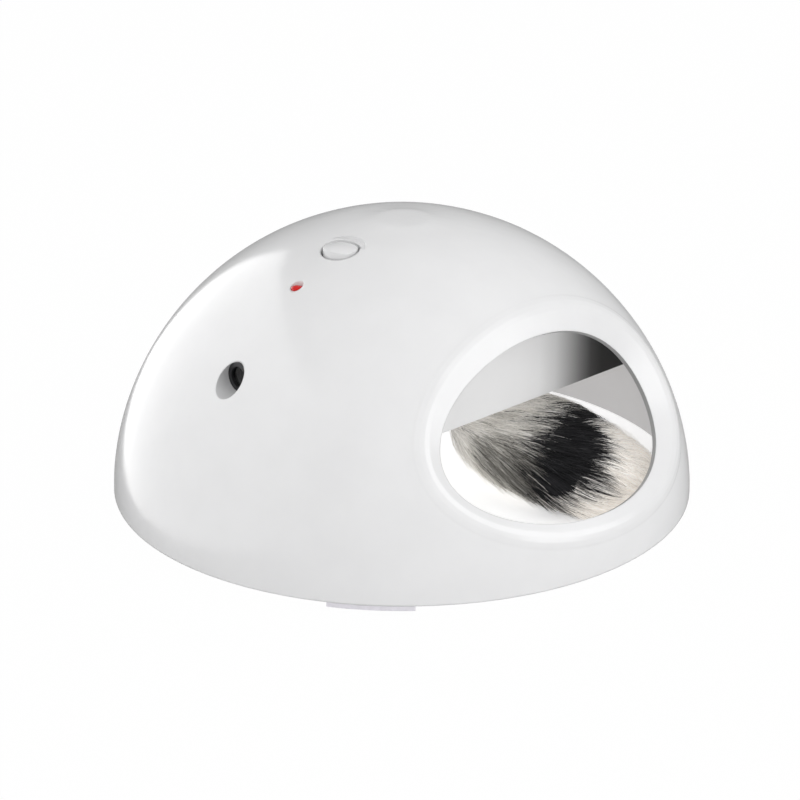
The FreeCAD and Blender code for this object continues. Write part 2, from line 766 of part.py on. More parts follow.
# ------------------------------------------------------------------ gears
def gear_outline(teeth, phase):
    """Closed outline of an involute gear, a tooth centred on the phase angle."""
    module = size("gear_module")
    pitch, pressure = teeth * module / 2, math.radians(20)
    base, tip, root = pitch * math.cos(pressure), pitch + size("tooth_top") * module, pitch - module

    def half_tooth(radius):
        lean = math.acos(min(base / radius, 1.0))
        involute = math.tan(lean) - lean
        return math.pi / (2 * teeth) + math.tan(pressure) - pressure - involute

    flank = [max(base, root + 0.1)]
    flank += [flank[0] + (tip - flank[0]) * part for part in (0.3, 0.65, 1.0)]
    corners = []
    for tooth in range(teeth):
        middle = phase + 2 * math.pi * tooth / teeth
        rising = [(root, -half_tooth(flank[0]))] + [(r, -half_tooth(r)) for r in flank]
        for radius, angle in rising + [(r, -a) for r, a in reversed(rising)]:
            corners.append(V(radius * math.cos(middle + angle), radius * math.sin(middle + angle), 0))
    return Part.makePolygon(corners + corners[:1])


def gear(name, teeth_size, width, at, offset=0.0):
    """A toothed disc, padded up from the involute outline.  Offset is in tooth pitches."""
    teeth = int(size(teeth_size))
    outline = shaped(name + "_teeth", gear_outline(teeth, 2 * math.pi / teeth * offset), at)
    body = doc.addObject("Part::Extrusion", name)
    body.Base = outline
    body.DirMode = "Custom"
    body.Dir = Z_AXIS
    body.Solid = True
    body.setExpression("LengthFwd", linked(width))
    return body


HALF_PITCH = 0.5
MOTOR_PINION_LOW = f"({IDLER_HIGH} + pinion_length - pinion_overhang)"
HUB_LOW = f"({DECK} - hub_drop - hub_length)"


def build_gear_train():
    """Two alike idlers on steel axles and the output gear on the tail's shaft."""
    for name, (x, y, low) in IDLERS.items():
        wheel = gear(name + "_wheel", "wheel_teeth", "wheel_width", (x, y, f"{low} + pinion_length"))
        pinion = gear(name + "_pinion", "pinion_teeth", "pinion_length", (x, y, low), HALF_PITCH)
        bore = cylinder(name + "_bore", "axle_radius + axle_fit", "2 * cover_room",
                        (x, y, f"{low} - cut_over"))
        subpart(name, cut(name + "_cut", fuse(name + "_blank", wheel, pinion), bore))
        subpart(name.replace("gear", "axle"),
                cylinder(name + "_axle", "axle_radius", f"{COVER_INSIDE} + axle_seat - {DECK}",
                         (x, y, DECK)))
    blank = gear("output_blank", "output_teeth", "output_gear_width", ("0", "0", GEAR_BASE))
    bore = cylinder("output_bore", "shaft_radius", "cover_room", ("0", "0", f"{GEAR_BASE} - cut_over"))
    subpart("output_gear", cut("output_cut", blank, bore))
    screw_end = f"{HUB_LOW} + arm_screw_bite"
    subpart("output_shaft", turned("output_rod", [
        ("shaft_radius", HUB_LOW), ("shaft_radius", COVER_TOP), ("0", COVER_TOP),
        ("0", screw_end), ("screw_radius", screw_end), ("screw_radius", HUB_LOW)]))
    subpart("shaft_bush_lower", turned("bush_lower", tube(
        "shaft_radius + bush_fit", "bush_radius", DECK, f"{GEAR_BASE} - gear_gap")))
    subpart("shaft_bush_upper", turned("bush_upper", tube(
        "shaft_radius + bush_fit", "bush_radius", f"{COVER_INSIDE} - cover_wall", COVER_TOP)))
    subpart("retaining_ring", turned("shaft_ring", tube(
        "shaft_radius", "ring_radius", f"{DECK} - gear_gap - ring_thickness", f"{DECK} - gear_gap")))


def build_cover():
    """The gearbox cover, with bearings for both axles and the shaft, and four ears."""
    wide, deep = f"{COVER_HIGH_X} - {COVER_LOW_X}", f"{COVER_HIGH_Y} - {COVER_LOW_Y}"
    outer = box("cover_block", (COVER_LOW_X, COVER_LOW_Y, DECK_TOP),
                (wide, deep, "cover_room + cover_wall"))
    hollow = box("cover_hollow",
                 (f"{COVER_LOW_X} + cover_wall", f"{COVER_LOW_Y} + cover_wall",
                  f"{DECK_TOP} - cut_over"),
                 (f"{wide} - 2 * cover_wall", f"{deep} - 2 * cover_wall", "cover_room + cut_over"))
    lid = cut("cover_shell", outer, hollow)
    adds = [cylinder("cover_bush_boss", "bush_radius + cover_wall", "cover_wall",
                     ("0", "0", f"{COVER_INSIDE} - cover_wall"))]
    bores = [cylinder("cover_bush_bore", "bush_radius", "drill_depth",
                      ("0", "0", f"{COVER_INSIDE} - drill_depth / 2"))]
    for name, (x, y, low) in IDLERS.items():
        top = f"{low} + pinion_length + wheel_width + gear_gap"
        adds.append(cylinder(name + "_stop", "pedestal_radius", f"{COVER_INSIDE} - ({top})",
                             (x, y, top)))
        bores.append(cylinder(name + "_blind", "axle_radius", "cover_room",
                              (x, y, f"{COVER_INSIDE} + axle_seat - cover_room")))
    for number, (x, y) in enumerate(COVER_SPOTS, start=1):
        adds.append(cylinder(f"cover_ear_{number}", "ear_radius", "deck_thickness", (x, y, DECK_TOP)))
        root_x = COVER_HIGH_X if x.startswith(COVER_HIGH_X) else f"{COVER_LOW_X} - ear_radius"
        adds.append(box(f"cover_ear_root_{number}", (root_x, f"{y} - ear_radius", DECK_TOP),
                        ("ear_radius", "2 * ear_radius", "deck_thickness")))
    bores += holes("cover_hole", COVER_SPOTS, "screw_hole", f"{DECK_TOP} - cut_over", "drill_depth")
    bores.append(cylinder("pinion_hole", "(pinion_teeth / 2 + 1) * gear_module + gear_gap",
                          "drill_depth",
                          (MOTOR_X, WHEEL_STEP, f"{COVER_INSIDE} - cut_over")))
    subpart("gearbox_cover", cut("cover_bored", fuse("cover_built", lid, *adds), *bores))
    screws("cover_screws", COVER_SPOTS, f"({DECK_TOP} + deck_thickness)",
           "2 * deck_thickness - screw_play", False)


def flat_sided(name, low, height):
    """A piece of the motor's can: a round rod with two flats."""
    rounded = cylinder(name + "_round", "motor_radius", height, (MOTOR_X, WHEEL_STEP, low))
    sides = box(name + "_sides",
                (f"{MOTOR_X} - motor_radius", f"{WHEEL_STEP} - motor_half_flat", low),
                ("2 * motor_radius", "2 * motor_half_flat", height))
    return common(name + "_form", rounded, sides)


def build_motor():
    """The tail's motor: a flat-sided can, its cap, its rotor and its pinion."""
    cap_low = f"{COVER_TOP} + motor_length"
    room = cylinder("motor_room", "motor_half_flat - motor_skin", "motor_length",
                    (MOTOR_X, WHEEL_STEP, f"{COVER_TOP} + motor_skin"))
    nose = cylinder("motor_nose", "motor_shaft + bush_fit", "motor_skin + 2 * cut_over",
                    (MOTOR_X, WHEEL_STEP, f"{COVER_TOP} - cut_over"))
    subpart("motor_can", cut("motor_can_cut", flat_sided("motor_can", COVER_TOP, "motor_length"),
                             room, nose))
    tail_bore = cylinder("motor_cap_bore", "motor_shaft + bush_fit", "motor_cap - motor_skin",
                         (MOTOR_X, WHEEL_STEP, cap_low))
    subpart("motor_cap", cut("motor_cap_cut", flat_sided("motor_cap", cap_low, "motor_cap"),
                             tail_bore))
    armature = turned("rotor_core", tube("motor_shaft", "rotor_radius",
                                         f"{COVER_TOP} + motor_skin + rotor_gap",
                                         f"{COVER_TOP} + motor_skin + rotor_gap + rotor_length"),
                      (MOTOR_X, WHEEL_STEP, "0"))
    subpart("motor_rotor", armature)
    shaft_top = f"{cap_low} + motor_cap - motor_end_play"
    shaft = turned("motor_rod", rod("motor_shaft", MOTOR_PINION_LOW, shaft_top),
                   (MOTOR_X, WHEEL_STEP, "0"))
    subpart("motor_shaft", shaft)
    teeth = gear("motor_teeth", "pinion_teeth", "wheel_width + 2 * pinion_overhang",
                 (MOTOR_X, WHEEL_STEP, MOTOR_PINION_LOW), HALF_PITCH)
    bore = cylinder("motor_pinion_bore", "motor_shaft", "cover_room",
                    (MOTOR_X, WHEEL_STEP, f"{MOTOR_PINION_LOW} - cut_over"))
    subpart("motor_pinion", cut("motor_pinion_cut", teeth, bore))


# ------------------------------------------------------------------ tail
TAIL_Z = f"({RIM} + tail_rise)"
TAIL_TURN = math.radians(size("tail_bearing"))
TAIL_WAY = V(-math.sin(TAIL_TURN), -math.cos(TAIL_TURN), 0)


def along_tail(name, radius, start, length):
    """A rod on the tail's axis, from a distance past the arm's end."""
    body = turned(name, rod(radius, start, f"({start}) + ({length})"),
                  ("arm_reach", "0", TAIL_Z))
    body.Placement.Rotation = FreeCAD.Rotation(Z_AXIS, TAIL_WAY)
    return body


def tail_form():
    """The fur as one simple closed form: a long superellipsoid lying on its side."""
    half, steps = size("tail_length") / 2, 12
    curve = []
    for step in range(2 * steps + 1):
        turn = math.pi * step / (2 * steps)
        power = 2 / size("tail_fullness")
        side = math.copysign(abs(math.cos(turn)) ** power, math.cos(turn))
        curve.append(V(size("tail_half_width") * math.sin(turn) ** power, 0, half * side))
    curve[0].x = curve[-1].x = 0
    outline = Part.BSplineCurve()
    outline.interpolate(Points=curve, InitialTangent=X_AXIS, FinalTangent=-X_AXIS)
    section = Part.Face(Part.Wire([outline.toShape(), Part.makeLine(curve[-1], curve[0])]))
    solid = section.revolve(V(), Z_AXIS, 360)
    squeeze = FreeCAD.Matrix()
    squeeze.scale(V(1, size("tail_half_height") / size("tail_half_width"), 1))
    solid = solid.transformGeometry(squeeze)
    solid.Placement = FreeCAD.Placement(V(), FreeCAD.Rotation(V(), Z_AXIS, TAIL_WAY, "ZYX"))
    middle = "(tail_length / 2 - tail_back)"
    return shaped("fur_form", solid, (f"arm_reach - {middle} * sin(tail_bearing)",
                                      f"-{middle} * cos(tail_bearing)", TAIL_Z))


def build_tail():
    """The arm on the output shaft, the socket at its end, the core and the fur."""
    hub = turned("arm_hub", rod("hub_radius", HUB_LOW, f"{HUB_LOW} + hub_length"))
    beam = box("arm_beam", ("0", "-arm_width / 2", HUB_LOW),
               ("arm_reach", "arm_width", "arm_thickness"))
    post = cylinder("arm_post", "arm_width / 2", f"{HUB_LOW} + arm_thickness - {TAIL_Z}",
                    ("arm_reach", "0", TAIL_Z))
    socket = along_tail("arm_socket", "socket_radius", "-socket_back", "socket_back + socket_front")
    arm = fuse("arm_built", hub, beam, post, socket)
    shaft_bore = cylinder("arm_shaft_bore", "shaft_radius", "2 * hub_length",
                          ("0", "0", f"{HUB_LOW} - cut_over"))
    core_bore = along_tail("arm_core_bore", "core_radius", "core_start", "core_length")
    subpart("tail_arm", cut("arm_bored", arm, shaft_bore, core_bore))
    subpart("arm_screw", turned("arm_screw_form", [
        ("0", f"{HUB_LOW} - head_height"), ("shaft_radius + head_height", f"{HUB_LOW} - head_height"),
        ("shaft_radius + head_height", HUB_LOW), ("screw_radius", HUB_LOW),
        ("screw_radius", f"{HUB_LOW} + arm_screw_bite"), ("0", f"{HUB_LOW} + arm_screw_bite")]))
    subpart("tail_core", along_tail("core_rod", "core_radius", "core_start", "core_length"))
    room = [along_tail("core_room", "core_radius", "0", "core_start + core_length"),
            along_tail("socket_room", "socket_radius + tail_gap", "-2 * tail_back",
                       "2 * tail_back + socket_front + tail_gap"),
            box("arm_room", ("0", "-arm_width / 2 - tail_gap", TAIL_Z),
                ("arm_reach", "arm_width + 2 * tail_gap", "2 * tail_half_height")),
            cylinder("post_room", "arm_width / 2 + tail_gap", "2 * tail_half_height",
                     ("arm_reach", "0", TAIL_Z))]
    subpart("fur_tail", cut("fur_cut", tail_form(), *room))


# ------------------------------------------------------------------ laser
LASER_MOTOR_TOP = f"({CARRIAGE} - laser_motor_drop)"


def along_laser(name, radius, front, length):
    """A rod on the laser's axis, from a distance in front of the dome's axis backwards."""
    return cylinder(name, radius, length, (f"-({front})", "0", BORE), ALONG_X)


def build_laser():
    """The black sleeve and window in the bore, and the barrel on its turning carriage."""
    sleeve = along_laser("sleeve_rod", "sleeve_radius", "sleeve_front", "sleeve_length")
    opening = along_laser("sleeve_hole", "sleeve_opening", "sleeve_front + cut_over",
                          "2 * sleeve_length")
    subpart("laser_sleeve", cut("sleeve_cut", sleeve, opening))
    subpart("laser_window", along_laser("window_disc", "sleeve_opening",
                                        "sleeve_front - window_thickness", "window_thickness"))
    nose = "laser_pivot + laser_nose"
    barrel = along_laser("barrel_rod", "laser_radius", nose, "laser_length")
    room = along_laser("barrel_room", "laser_radius - laser_skin", f"{nose} + cut_over",
                       "laser_length - laser_back")
    subpart("laser_barrel", cut("barrel_cut", barrel, room))
    subpart("laser_lens", along_laser("lens_disc", "laser_radius - laser_skin",
                                      f"{nose} - lens_inset", "lens_thickness"))
    subpart("laser_diode", along_laser("diode_can", "lens_radius", f"{nose} - diode_inset",
                                       "diode_length"))

    disc = cylinder("carriage_disc", "cradle_width / 2", "carriage_thickness",
                    ("-laser_pivot", "0", CARRIAGE))
    teeth = gear("sector_teeth", "wheel_teeth", "carriage_thickness", ("-laser_pivot", "0", CARRIAGE))
    wedge = primitive("Cylinder", "sector_wedge", ("-laser_pivot", "0", CARRIAGE),
                      (Z_AXIS, "-sector_angle"), Radius="2 * laser_pivot",
                      Height="carriage_thickness", Angle="2 * sector_angle")
    cradle = box("cradle_block", ("-laser_pivot - cradle_length / 2", "-cradle_width / 2", CARRIAGE),
                 ("cradle_length", "cradle_width", f"{BORE} - {CARRIAGE}"))
    built = fuse("carriage_built", disc, common("sector", teeth, wedge), cradle)
    seat = along_laser("barrel_seat", "laser_radius", f"{nose} + seat_over", "2 * laser_length")
    pin_bore = cylinder("carriage_pin_bore", "axle_radius + axle_fit", "2 * carriage_thickness",
                        ("-laser_pivot", "0", f"{CARRIAGE} - cut_over"))
    subpart("laser_carriage", cut("carriage_cut", built, seat, pin_bore))
    strap = box("clamp_block", ("-laser_pivot - cradle_length / 4", "-cradle_width / 2", BORE),
                ("cradle_length / 2", "cradle_width", "laser_radius + laser_skin"))
    subpart("laser_clamp", cut("clamp_cut", strap, seat))


def build_laser_drive():
    """The stand under the carriage, and the small motor that turns it."""
    half = "stand_width / 2"
    plate = box("stand_sheet", (f"-laser_pivot - {half}", f"-{half}", DECK_TOP),
                (f"{LASER_DRIVE_X} + laser_pivot + stand_width", "stand_width", "stand_plate"))
    column = cylinder("stand_column", "stand_radius", f"{CARRIAGE} - gear_gap - {DECK_TOP}",
                      ("-laser_pivot", "0", DECK_TOP))
    ears = holes("stand_ear", STAND_SPOTS, "ear_radius", DECK_TOP, "stand_plate")
    holder = box("motor_holder", (f"{LASER_DRIVE_X} - {half}", f"-{half}", DECK_TOP),
                 ("stand_width", "stand_width", f"{LASER_MOTOR_TOP} - {DECK_TOP}"))
    pocket = cylinder("laser_motor_pocket", "laser_motor_radius", "laser_motor_length + cut_over",
                      (LASER_DRIVE_X, "0", f"{LASER_MOTOR_TOP} - laser_motor_length"))
    pin_low = f"{CARRIAGE} - gear_gap - pin_seat"
    pin_hole = cylinder("stand_pin_hole", "axle_radius", "pin_seat + cut_over",
                        ("-laser_pivot", "0", pin_low))
    ear_holes = holes("stand_hole", STAND_SPOTS, "small_screw_hole", f"{DECK_TOP} - cut_over",
                      "short_drill")
    subpart("laser_stand", cut("stand_cut", fuse("stand_built", plate, column, holder, *ears),
                               pocket, pin_hole, *ear_holes))
    subpart("laser_pivot_pin", cylinder("pivot_pin", "axle_radius",
                                        "pin_seat + gear_gap + carriage_thickness",
                                        ("-laser_pivot", "0", pin_low)))
    can = cylinder("laser_can", "laser_motor_radius", "laser_motor_length",
                   (LASER_DRIVE_X, "0", f"{LASER_MOTOR_TOP} - laser_motor_length"))
    can_bore = cylinder("laser_can_bore", "motor_shaft + bush_fit", "drill_depth",
                        (LASER_DRIVE_X, "0", f"{LASER_MOTOR_TOP} - motor_bearing"))
    subpart("laser_motor", cut("laser_can_cut", can, can_bore))
    pinion_low = f"{CARRIAGE} - pinion_overlap"
    teeth = gear("laser_pinion_teeth", "pinion_teeth", "carriage_thickness + 2 * pinion_overlap",
                 (LASER_DRIVE_X, "0", pinion_low), HALF_PITCH)
    spindle = cylinder("laser_spindle", "motor_shaft", "laser_spindle",
                       (LASER_DRIVE_X, "0", f"{LASER_MOTOR_TOP} - motor_bearing + gear_gap"))
    subpart("laser_pinion", fuse("laser_pinion_built", teeth, spindle))
    screws("stand_screws", STAND_SPOTS, f"({DECK_TOP} + stand_plate)", "stand_bite", False, small=True)


# ------------------------------------------------------------------ electronics
SWITCH_TOP = f"({BOARD_TOP} + switch_height)"
PLUNGER_TOP = f"({SWITCH_TOP} + button_travel + plunger_play)"


def build_board():
    """The circuit board under the dome's top, and what is soldered to it."""
    start, end, side = "-board_start", "-board_end", "board_width / 2"

    def outline(flat):
        draw_outline(flat, [(start, f"-{side}"), (start, side), (end, side), (end, f"-{side}")])

    board = padded("board_sheet", outline, "board_thickness", ("0", "0", BOARD))
    bores = holes("board_hole", BOARD_SPOTS, "small_screw_hole", f"{BOARD} - cut_over", "short_drill")
    subpart("circuit_board", cut("board_cut", board, *bores))
    screws("board_screws", BOARD_SPOTS, BOARD, "board_thickness + board_bite", True, small=True)
    chip_x = "-(light_distance + button_distance) / 2"
    subpart("control_chip", box("chip_block", (f"{chip_x} - chip_length / 2", "-chip_width / 2",
                                               f"{BOARD} - chip_height"),
                                ("chip_length", "chip_width", "chip_height")))


def build_button():
    """The switch, its plunger, and the oval button in its sleeve."""
    half = "switch_side / 2"
    block = box("switch_block", (f"-button_distance - {half}", f"-{half}", BOARD_TOP),
                ("switch_side", "switch_side", "switch_height"))
    well = cylinder("switch_well", "plunger_radius + bush_fit", "drill_depth",
                    ("-button_distance", "0", f"{BOARD_TOP} + switch_floor"))
    subpart("power_switch", cut("switch_cut", block, well))
    low = f"({BOARD_TOP} + switch_floor + button_travel + switch_gap)"
    subpart("switch_plunger", cylinder("plunger_rod", "plunger_radius", f"{PLUNGER_TOP} - {low}",
                                       ("-button_distance", "0", low)))
    top = f"({BUTTON_SURFACE} + button_proud)"
    skirt_top = f"({GUIDE_LOW} - gear_gap)"
    cap = button_oval("button_cap", "0", "0", f"{skirt_top} - button_skirt",
                      f"{top} - {skirt_top} + button_skirt")
    crown = primitive("Sphere", "button_crown_ball",
                      ("-button_distance", "0", f"{top} - button_crown"), Radius="button_crown")
    skirt = button_oval("button_rim", "button_gap + button_flange", "button_end_gap + button_flange",
                        f"{skirt_top} - button_skirt", "button_skirt")
    stem = cylinder("button_stem", "2 * plunger_radius", f"{skirt_top} - {PLUNGER_TOP}",
                    ("-button_distance", "0", PLUNGER_TOP))
    subpart("power_button", fuse("button_built", common("button_crowned", cap, crown), skirt, stem))


def build_light():
    """The red status light, raised into its hole on a spacer."""
    top = f"({RIM} + {surface_rise('light_distance')} - light_depth)"
    base = f"({top} - light_length)"
    x = "-light_distance"
    body = cylinder("light_rod", "light_radius", "light_length", (x, "0", base))
    crown = primitive("Sphere", "light_crown_ball", (x, "0", f"{top} - light_crown"),
                      Radius="light_crown")
    skirt = cylinder("light_skirt", "light_radius", "light_length / 2", (x, "0", base))
    body = fuse("light_body", common("light_crowned", body, crown), skirt)
    rim = cylinder("light_rim", "light_radius + light_flange", "light_flange_height",
                   (x, "0", base))
    subpart("status_light", fuse("light_built", body, rim))
    spacer = cylinder("spacer_post", "light_radius + light_flange", f"{base} - {BOARD_TOP}",
                      (x, "0", BOARD_TOP))
    leads = [cylinder(f"lead_{side}", "lead_radius", f"{base} - {BOARD_TOP}",
                      (f"{x} {side} lead_spread", "0", BOARD_TOP)) for side in "+-"]
    subpart("light_spacer", cut("spacer_cut", spacer, *leads))
    subpart("light_leads", fuse("light_leads_pair", *leads))


# ------------------------------------------------------------------ batteries
HALF_CELL = "((cell_length + cell_nub) / 2)"
CELL_ROOM = "(cell_radius + tray_fit)"
TRAY_AT = ("0", "tray_distance", f"{RIM} + tray_rise")
TRAY_TURN = (X_AXIS, "tray_slope")


def build_batteries():
    """The sloping battery tray on the deck, its cells, contacts and springs."""
    half = f"({HALF_CELL} + contact_room)"
    stack = f"((cell_count - 1) * cell_pitch + 2 * {CELL_ROOM})"
    outer = box("tray_block", (f"-{half} - tray_wall", f"-{CELL_ROOM} - tray_wall",
                               f"-{CELL_ROOM} - tray_wall"),
                (f"2 * ({half} + tray_wall)", f"{CELL_ROOM} + tray_wall + tray_lip",
                 f"{stack} + 2 * tray_wall"))
    inner = box("tray_hollow", (f"-{half}", f"-{CELL_ROOM}", f"-{CELL_ROOM}"),
                (f"2 * {half}", "4 * cell_radius", stack))
    trough = place(cut("tray_trough", outer, inner), TRAY_AT, TRAY_TURN)
    above = box("above_tray", ("-dome_radius", f"-{CELL_ROOM} - tray_wall / 2", "-dome_radius"),
                ("2 * dome_radius", "dome_radius", "2 * dome_radius"))
    above = moved("above_tray_turned", above, TRAY_AT, TRAY_TURN)
    legs = [box(f"tray_rib_{side}",
                (f"{side} tray_rib_x - tray_rib / 2", "tray_distance - dome_radius / 3", DECK_TOP),
                ("tray_rib", "dome_radius / 3", "tray_rise")) for side in "+-"]
    legs.append(box("tray_foot", ("-tray_foot_x - ear_radius", "tray_foot_y - tray_foot_depth / 2",
                                  DECK_TOP),
                    ("2 * (tray_foot_x + ear_radius)", "tray_foot_depth", "deck_thickness")))
    stand = cut("tray_legs", fuse("tray_leg_blanks", *legs), above)
    foot_holes = holes("tray_hole", TRAY_SPOTS, "screw_hole", f"{DECK_TOP} - cut_over", "drill_depth")
    subpart("battery_tray", cut("tray_cut", fuse("tray_built", trough, stand), *foot_holes))
    screws("tray_screws", TRAY_SPOTS, f"({DECK_TOP} + deck_thickness)",
           "2 * deck_thickness - screw_play", False)

    plates, leaves = [], []
    for number in range(int(size("cell_count"))):
        side = 1 if number % 2 else -1
        level = f"{number} * cell_pitch"
        start = f"-{HALF_CELL}" if side > 0 else f"-{HALF_CELL} + cell_nub"
        barrel = cylinder(f"cell_{number}", "cell_radius", "cell_length", (start, "0", level), ALONG_X)
        nub_at = f"{HALF_CELL} - cell_nub" if side > 0 else f"-{HALF_CELL}"
        nub = cylinder(f"nub_{number}", "nub_radius", "cell_nub", (nub_at, "0", level), ALONG_X)
        cell = place(fuse(f"battery_{number + 1}_built", barrel, nub), TRAY_AT, TRAY_TURN)
        subpart(f"battery_{number + 1}", cell)
        for end, thickness in ((side, "contact_room"), (-side, "contact_thickness")):
            low = f"{half} - {thickness}" if end > 0 else f"-{half}"
            plates.append(box(f"contact_{number}_{'high' if end > 0 else 'low'}",
                              (low, "-cell_radius / 2", f"{level} - cell_radius / 2"),
                              (thickness, "cell_radius", "cell_radius")))
        leaves.append(contact_spring(number, -side, level))
    subpart("contact_plates", place(fuse("contact_plates_built", *plates), TRAY_AT, TRAY_TURN))
    subpart("contact_springs", place(fuse("contact_springs_built", *leaves), TRAY_AT, TRAY_TURN))


def contact_spring(number, end, level):
    """A bowed leaf between a contact plate and the flat end of a cell."""
    bow = "(contact_room - contact_thickness - 2 * spring_strip)"
    side = "" if end > 0 else "-"

    def outline(flat):
        draw_outline(flat, [("-spring_reach", "0"), ("0", bow), ("spring_reach", "0"),
                            ("spring_reach", "spring_strip"), ("0", f"{bow} + spring_strip"),
                            ("-spring_reach", "spring_strip")])

    leaf = padded(f"spring_{number}", outline, "spring_width")
    leaf.Placement.Rotation = FreeCAD.Rotation(Z_AXIS, X_AXIS * -end, V(), "XYZ")
    return place(leaf, (f"{side}({HALF_CELL} + contact_room - contact_thickness)",
                        f"{side}spring_width / 2", level))


# ------------------------------------------------------------------ build, check, write
def check(everything):
    """Stop on a failed feature or an empty or faulty sub-part."""
    for item in everything:
        if "Invalid" in item.State or "Error" in item.State:
            raise RuntimeError(f"{item.Name} failed: {item.State}")
    for body in subparts:
        if body.Shape.isNull() or not body.Shape.isValid() or not body.Shape.Solids:
            raise RuntimeError(f"{body.Label} has no sound solid")


def main():
    outside = dome_solid("dome_outside", 0.0)
    inside = dome_solid("dome_inside", size("dome_wall"))
    build_dome(outside, inside)
    build_door(outside, inside)
    build_base()
    build_deck()
    build_gear_train()
    build_cover()
    build_motor()
    build_tail()
    build_laser()
    build_laser_drive()
    build_board()
    build_button()
    build_light()
    build_batteries()
    doc.recompute()
    check(doc.Objects)
    os.makedirs("parts", exist_ok=True)
    for body in subparts:
        body.Shape.exportStep(os.path.join("parts", body.Label + ".step"))
        print(f"{body.Label}: {len(body.Shape.Solids)} solid(s), {body.Shape.Volume:.0f} mm3")


main()
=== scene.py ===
"""Looks of the automatic cat laser toy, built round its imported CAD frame.

Metres, +Z up, the same frame as the CAD: the oval opening faces -Y, the laser faces -X.
"""
import json
import math

import bpy
import numpy as np
from mathutils import Matrix, Vector
from mathutils.kdtree import KDTree


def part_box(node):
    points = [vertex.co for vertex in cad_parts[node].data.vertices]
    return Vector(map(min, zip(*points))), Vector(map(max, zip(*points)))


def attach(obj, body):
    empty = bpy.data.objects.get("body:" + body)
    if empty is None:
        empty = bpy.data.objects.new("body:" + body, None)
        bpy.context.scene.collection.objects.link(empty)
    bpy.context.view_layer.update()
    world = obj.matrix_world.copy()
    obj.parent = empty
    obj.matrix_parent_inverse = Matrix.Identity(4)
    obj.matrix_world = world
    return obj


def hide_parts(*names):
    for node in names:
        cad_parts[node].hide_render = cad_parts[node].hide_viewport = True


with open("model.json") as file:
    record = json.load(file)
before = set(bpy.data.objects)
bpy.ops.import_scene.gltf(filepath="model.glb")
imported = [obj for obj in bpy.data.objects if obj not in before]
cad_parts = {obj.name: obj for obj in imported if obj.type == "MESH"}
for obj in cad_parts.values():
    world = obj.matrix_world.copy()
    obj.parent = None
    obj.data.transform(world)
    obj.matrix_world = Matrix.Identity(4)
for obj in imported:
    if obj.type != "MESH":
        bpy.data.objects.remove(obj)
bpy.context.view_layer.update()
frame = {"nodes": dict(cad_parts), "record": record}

MM = 0.001
nodes = frame["nodes"]
# Glow of the room's floor, the fur and the partition: painted light, as none of them is a lamp.
FLOOR_GLOW, FUR_GLOW, WALL_GLOW = 0.62, 0.22, 0.35
# Painted shade on the partition's front: its tone along X, darkening towards its right end.
PARTITION_PAINTED_SHADE = ((0.0, 0.61), (0.4, 0.70), (0.5, 0.72), (0.6, 0.62), (0.68, 0.40), (0.76, 0.17),
                   (0.83, 0.04), (0.9, 0.008), (1.0, 0.003))
HORIZON_LIGHT, SKY_LIGHT, REFLECTED_SHARE = 0.36, 0.70, 0.65


# ------------------------------------------------------------------ material helpers
class Shader:
    """A material's node tree, with short calls that add and link its nodes."""

    def __init__(self, name):
        self.material = bpy.data.materials.new(name)
        self.material.use_nodes = True
        self.tree = self.material.node_tree
        self.tree.nodes.clear()
        self.surface = self.add("ShaderNodeBsdfPrincipled")
        self.output = self.add("ShaderNodeOutputMaterial")
        self.link(self.surface.outputs[0], self.output.inputs["Surface"])
        self.place = self.add("ShaderNodeTexCoord").outputs["Object"]

    def add(self, kind, **values):
        node = self.tree.nodes.new(kind)
        for key, value in values.items():
            setattr(node, key, value)
        return node

    def link(self, source, target):
        self.tree.links.new(source, target)

    def set(self, **values):
        """Constant numbers and colours, set on the shader's own sockets."""
        for key, value in values.items():
            socket = self.surface.inputs[key.replace("_", " ")]
            socket.default_value = (*value, 1.0) if isinstance(value, tuple) else value
        return self

    def noise(self, scale, detail=3.0, stretch=None, roughness=0.5):
        """Value of a noise, its scale in waves per metre."""
        node = self.add("ShaderNodeTexNoise")
        node.inputs["Scale"].default_value = scale
        node.inputs["Detail"].default_value = detail
        node.inputs["Roughness"].default_value = roughness
        source = self.place
        if stretch:
            mapping = self.add("ShaderNodeMapping")
            mapping.inputs["Scale"].default_value = stretch
            self.link(source, mapping.inputs["Vector"])
            source = mapping.outputs[0]
        self.link(source, node.inputs["Vector"])
        return node.outputs[0]

    def ramp(self, value, *stops):
        """Colour ramp; each stop is (place, grey or colour)."""
        node = self.add("ShaderNodeValToRGB")
        ramp = node.color_ramp
        while len(ramp.elements) < len(stops):
            ramp.elements.new(0.5)
        for element, (place, colour) in zip(ramp.elements, stops):
            element.position = place
            colour = (colour,) * 3 if isinstance(colour, float) else colour
            element.color = (*colour, 1.0)
        self.link(value, node.inputs[0])
        return node.outputs[0]

    def span(self, value, low, high):
        """A 0 to 1 value stretched to run from low to high."""
        node = self.add("ShaderNodeMapRange")
        node.inputs["To Min"].default_value = low
        node.inputs["To Max"].default_value = high
        self.link(value, node.inputs[0])
        return node.outputs[0]

    def bump(self, value, depth, strength=1.0, before=None):
        """Normal raised by a value, depth in metres."""
        node = self.add("ShaderNodeBump")
        node.inputs["Distance"].default_value = depth
        node.inputs["Strength"].default_value = strength
        self.link(value, node.inputs["Height"])
        if before:
            self.link(before, node.inputs["Normal"])
        return node.outputs[0]

    def attribute(self, name):
        """Colour that the mesh's own corners or points carry."""
        return self.add("ShaderNodeAttribute", attribute_name=name).outputs["Color"]

    def product(self, first, second):
        """Two colours or values multiplied."""
        node = self.add("ShaderNodeMix", data_type="RGBA", blend_type="MULTIPLY")
        node.inputs["Factor"].default_value = 1.0
        self.link(first, node.inputs["A"])
        self.link(second, node.inputs["B"])
        return node.outputs["Result"]

    def soft_edges(self, radius):
        """Normal that rounds off sharp edges."""
        node = self.add("ShaderNodeBevel", samples=6)
        node.inputs["Radius"].default_value = radius
        return node.outputs[0]


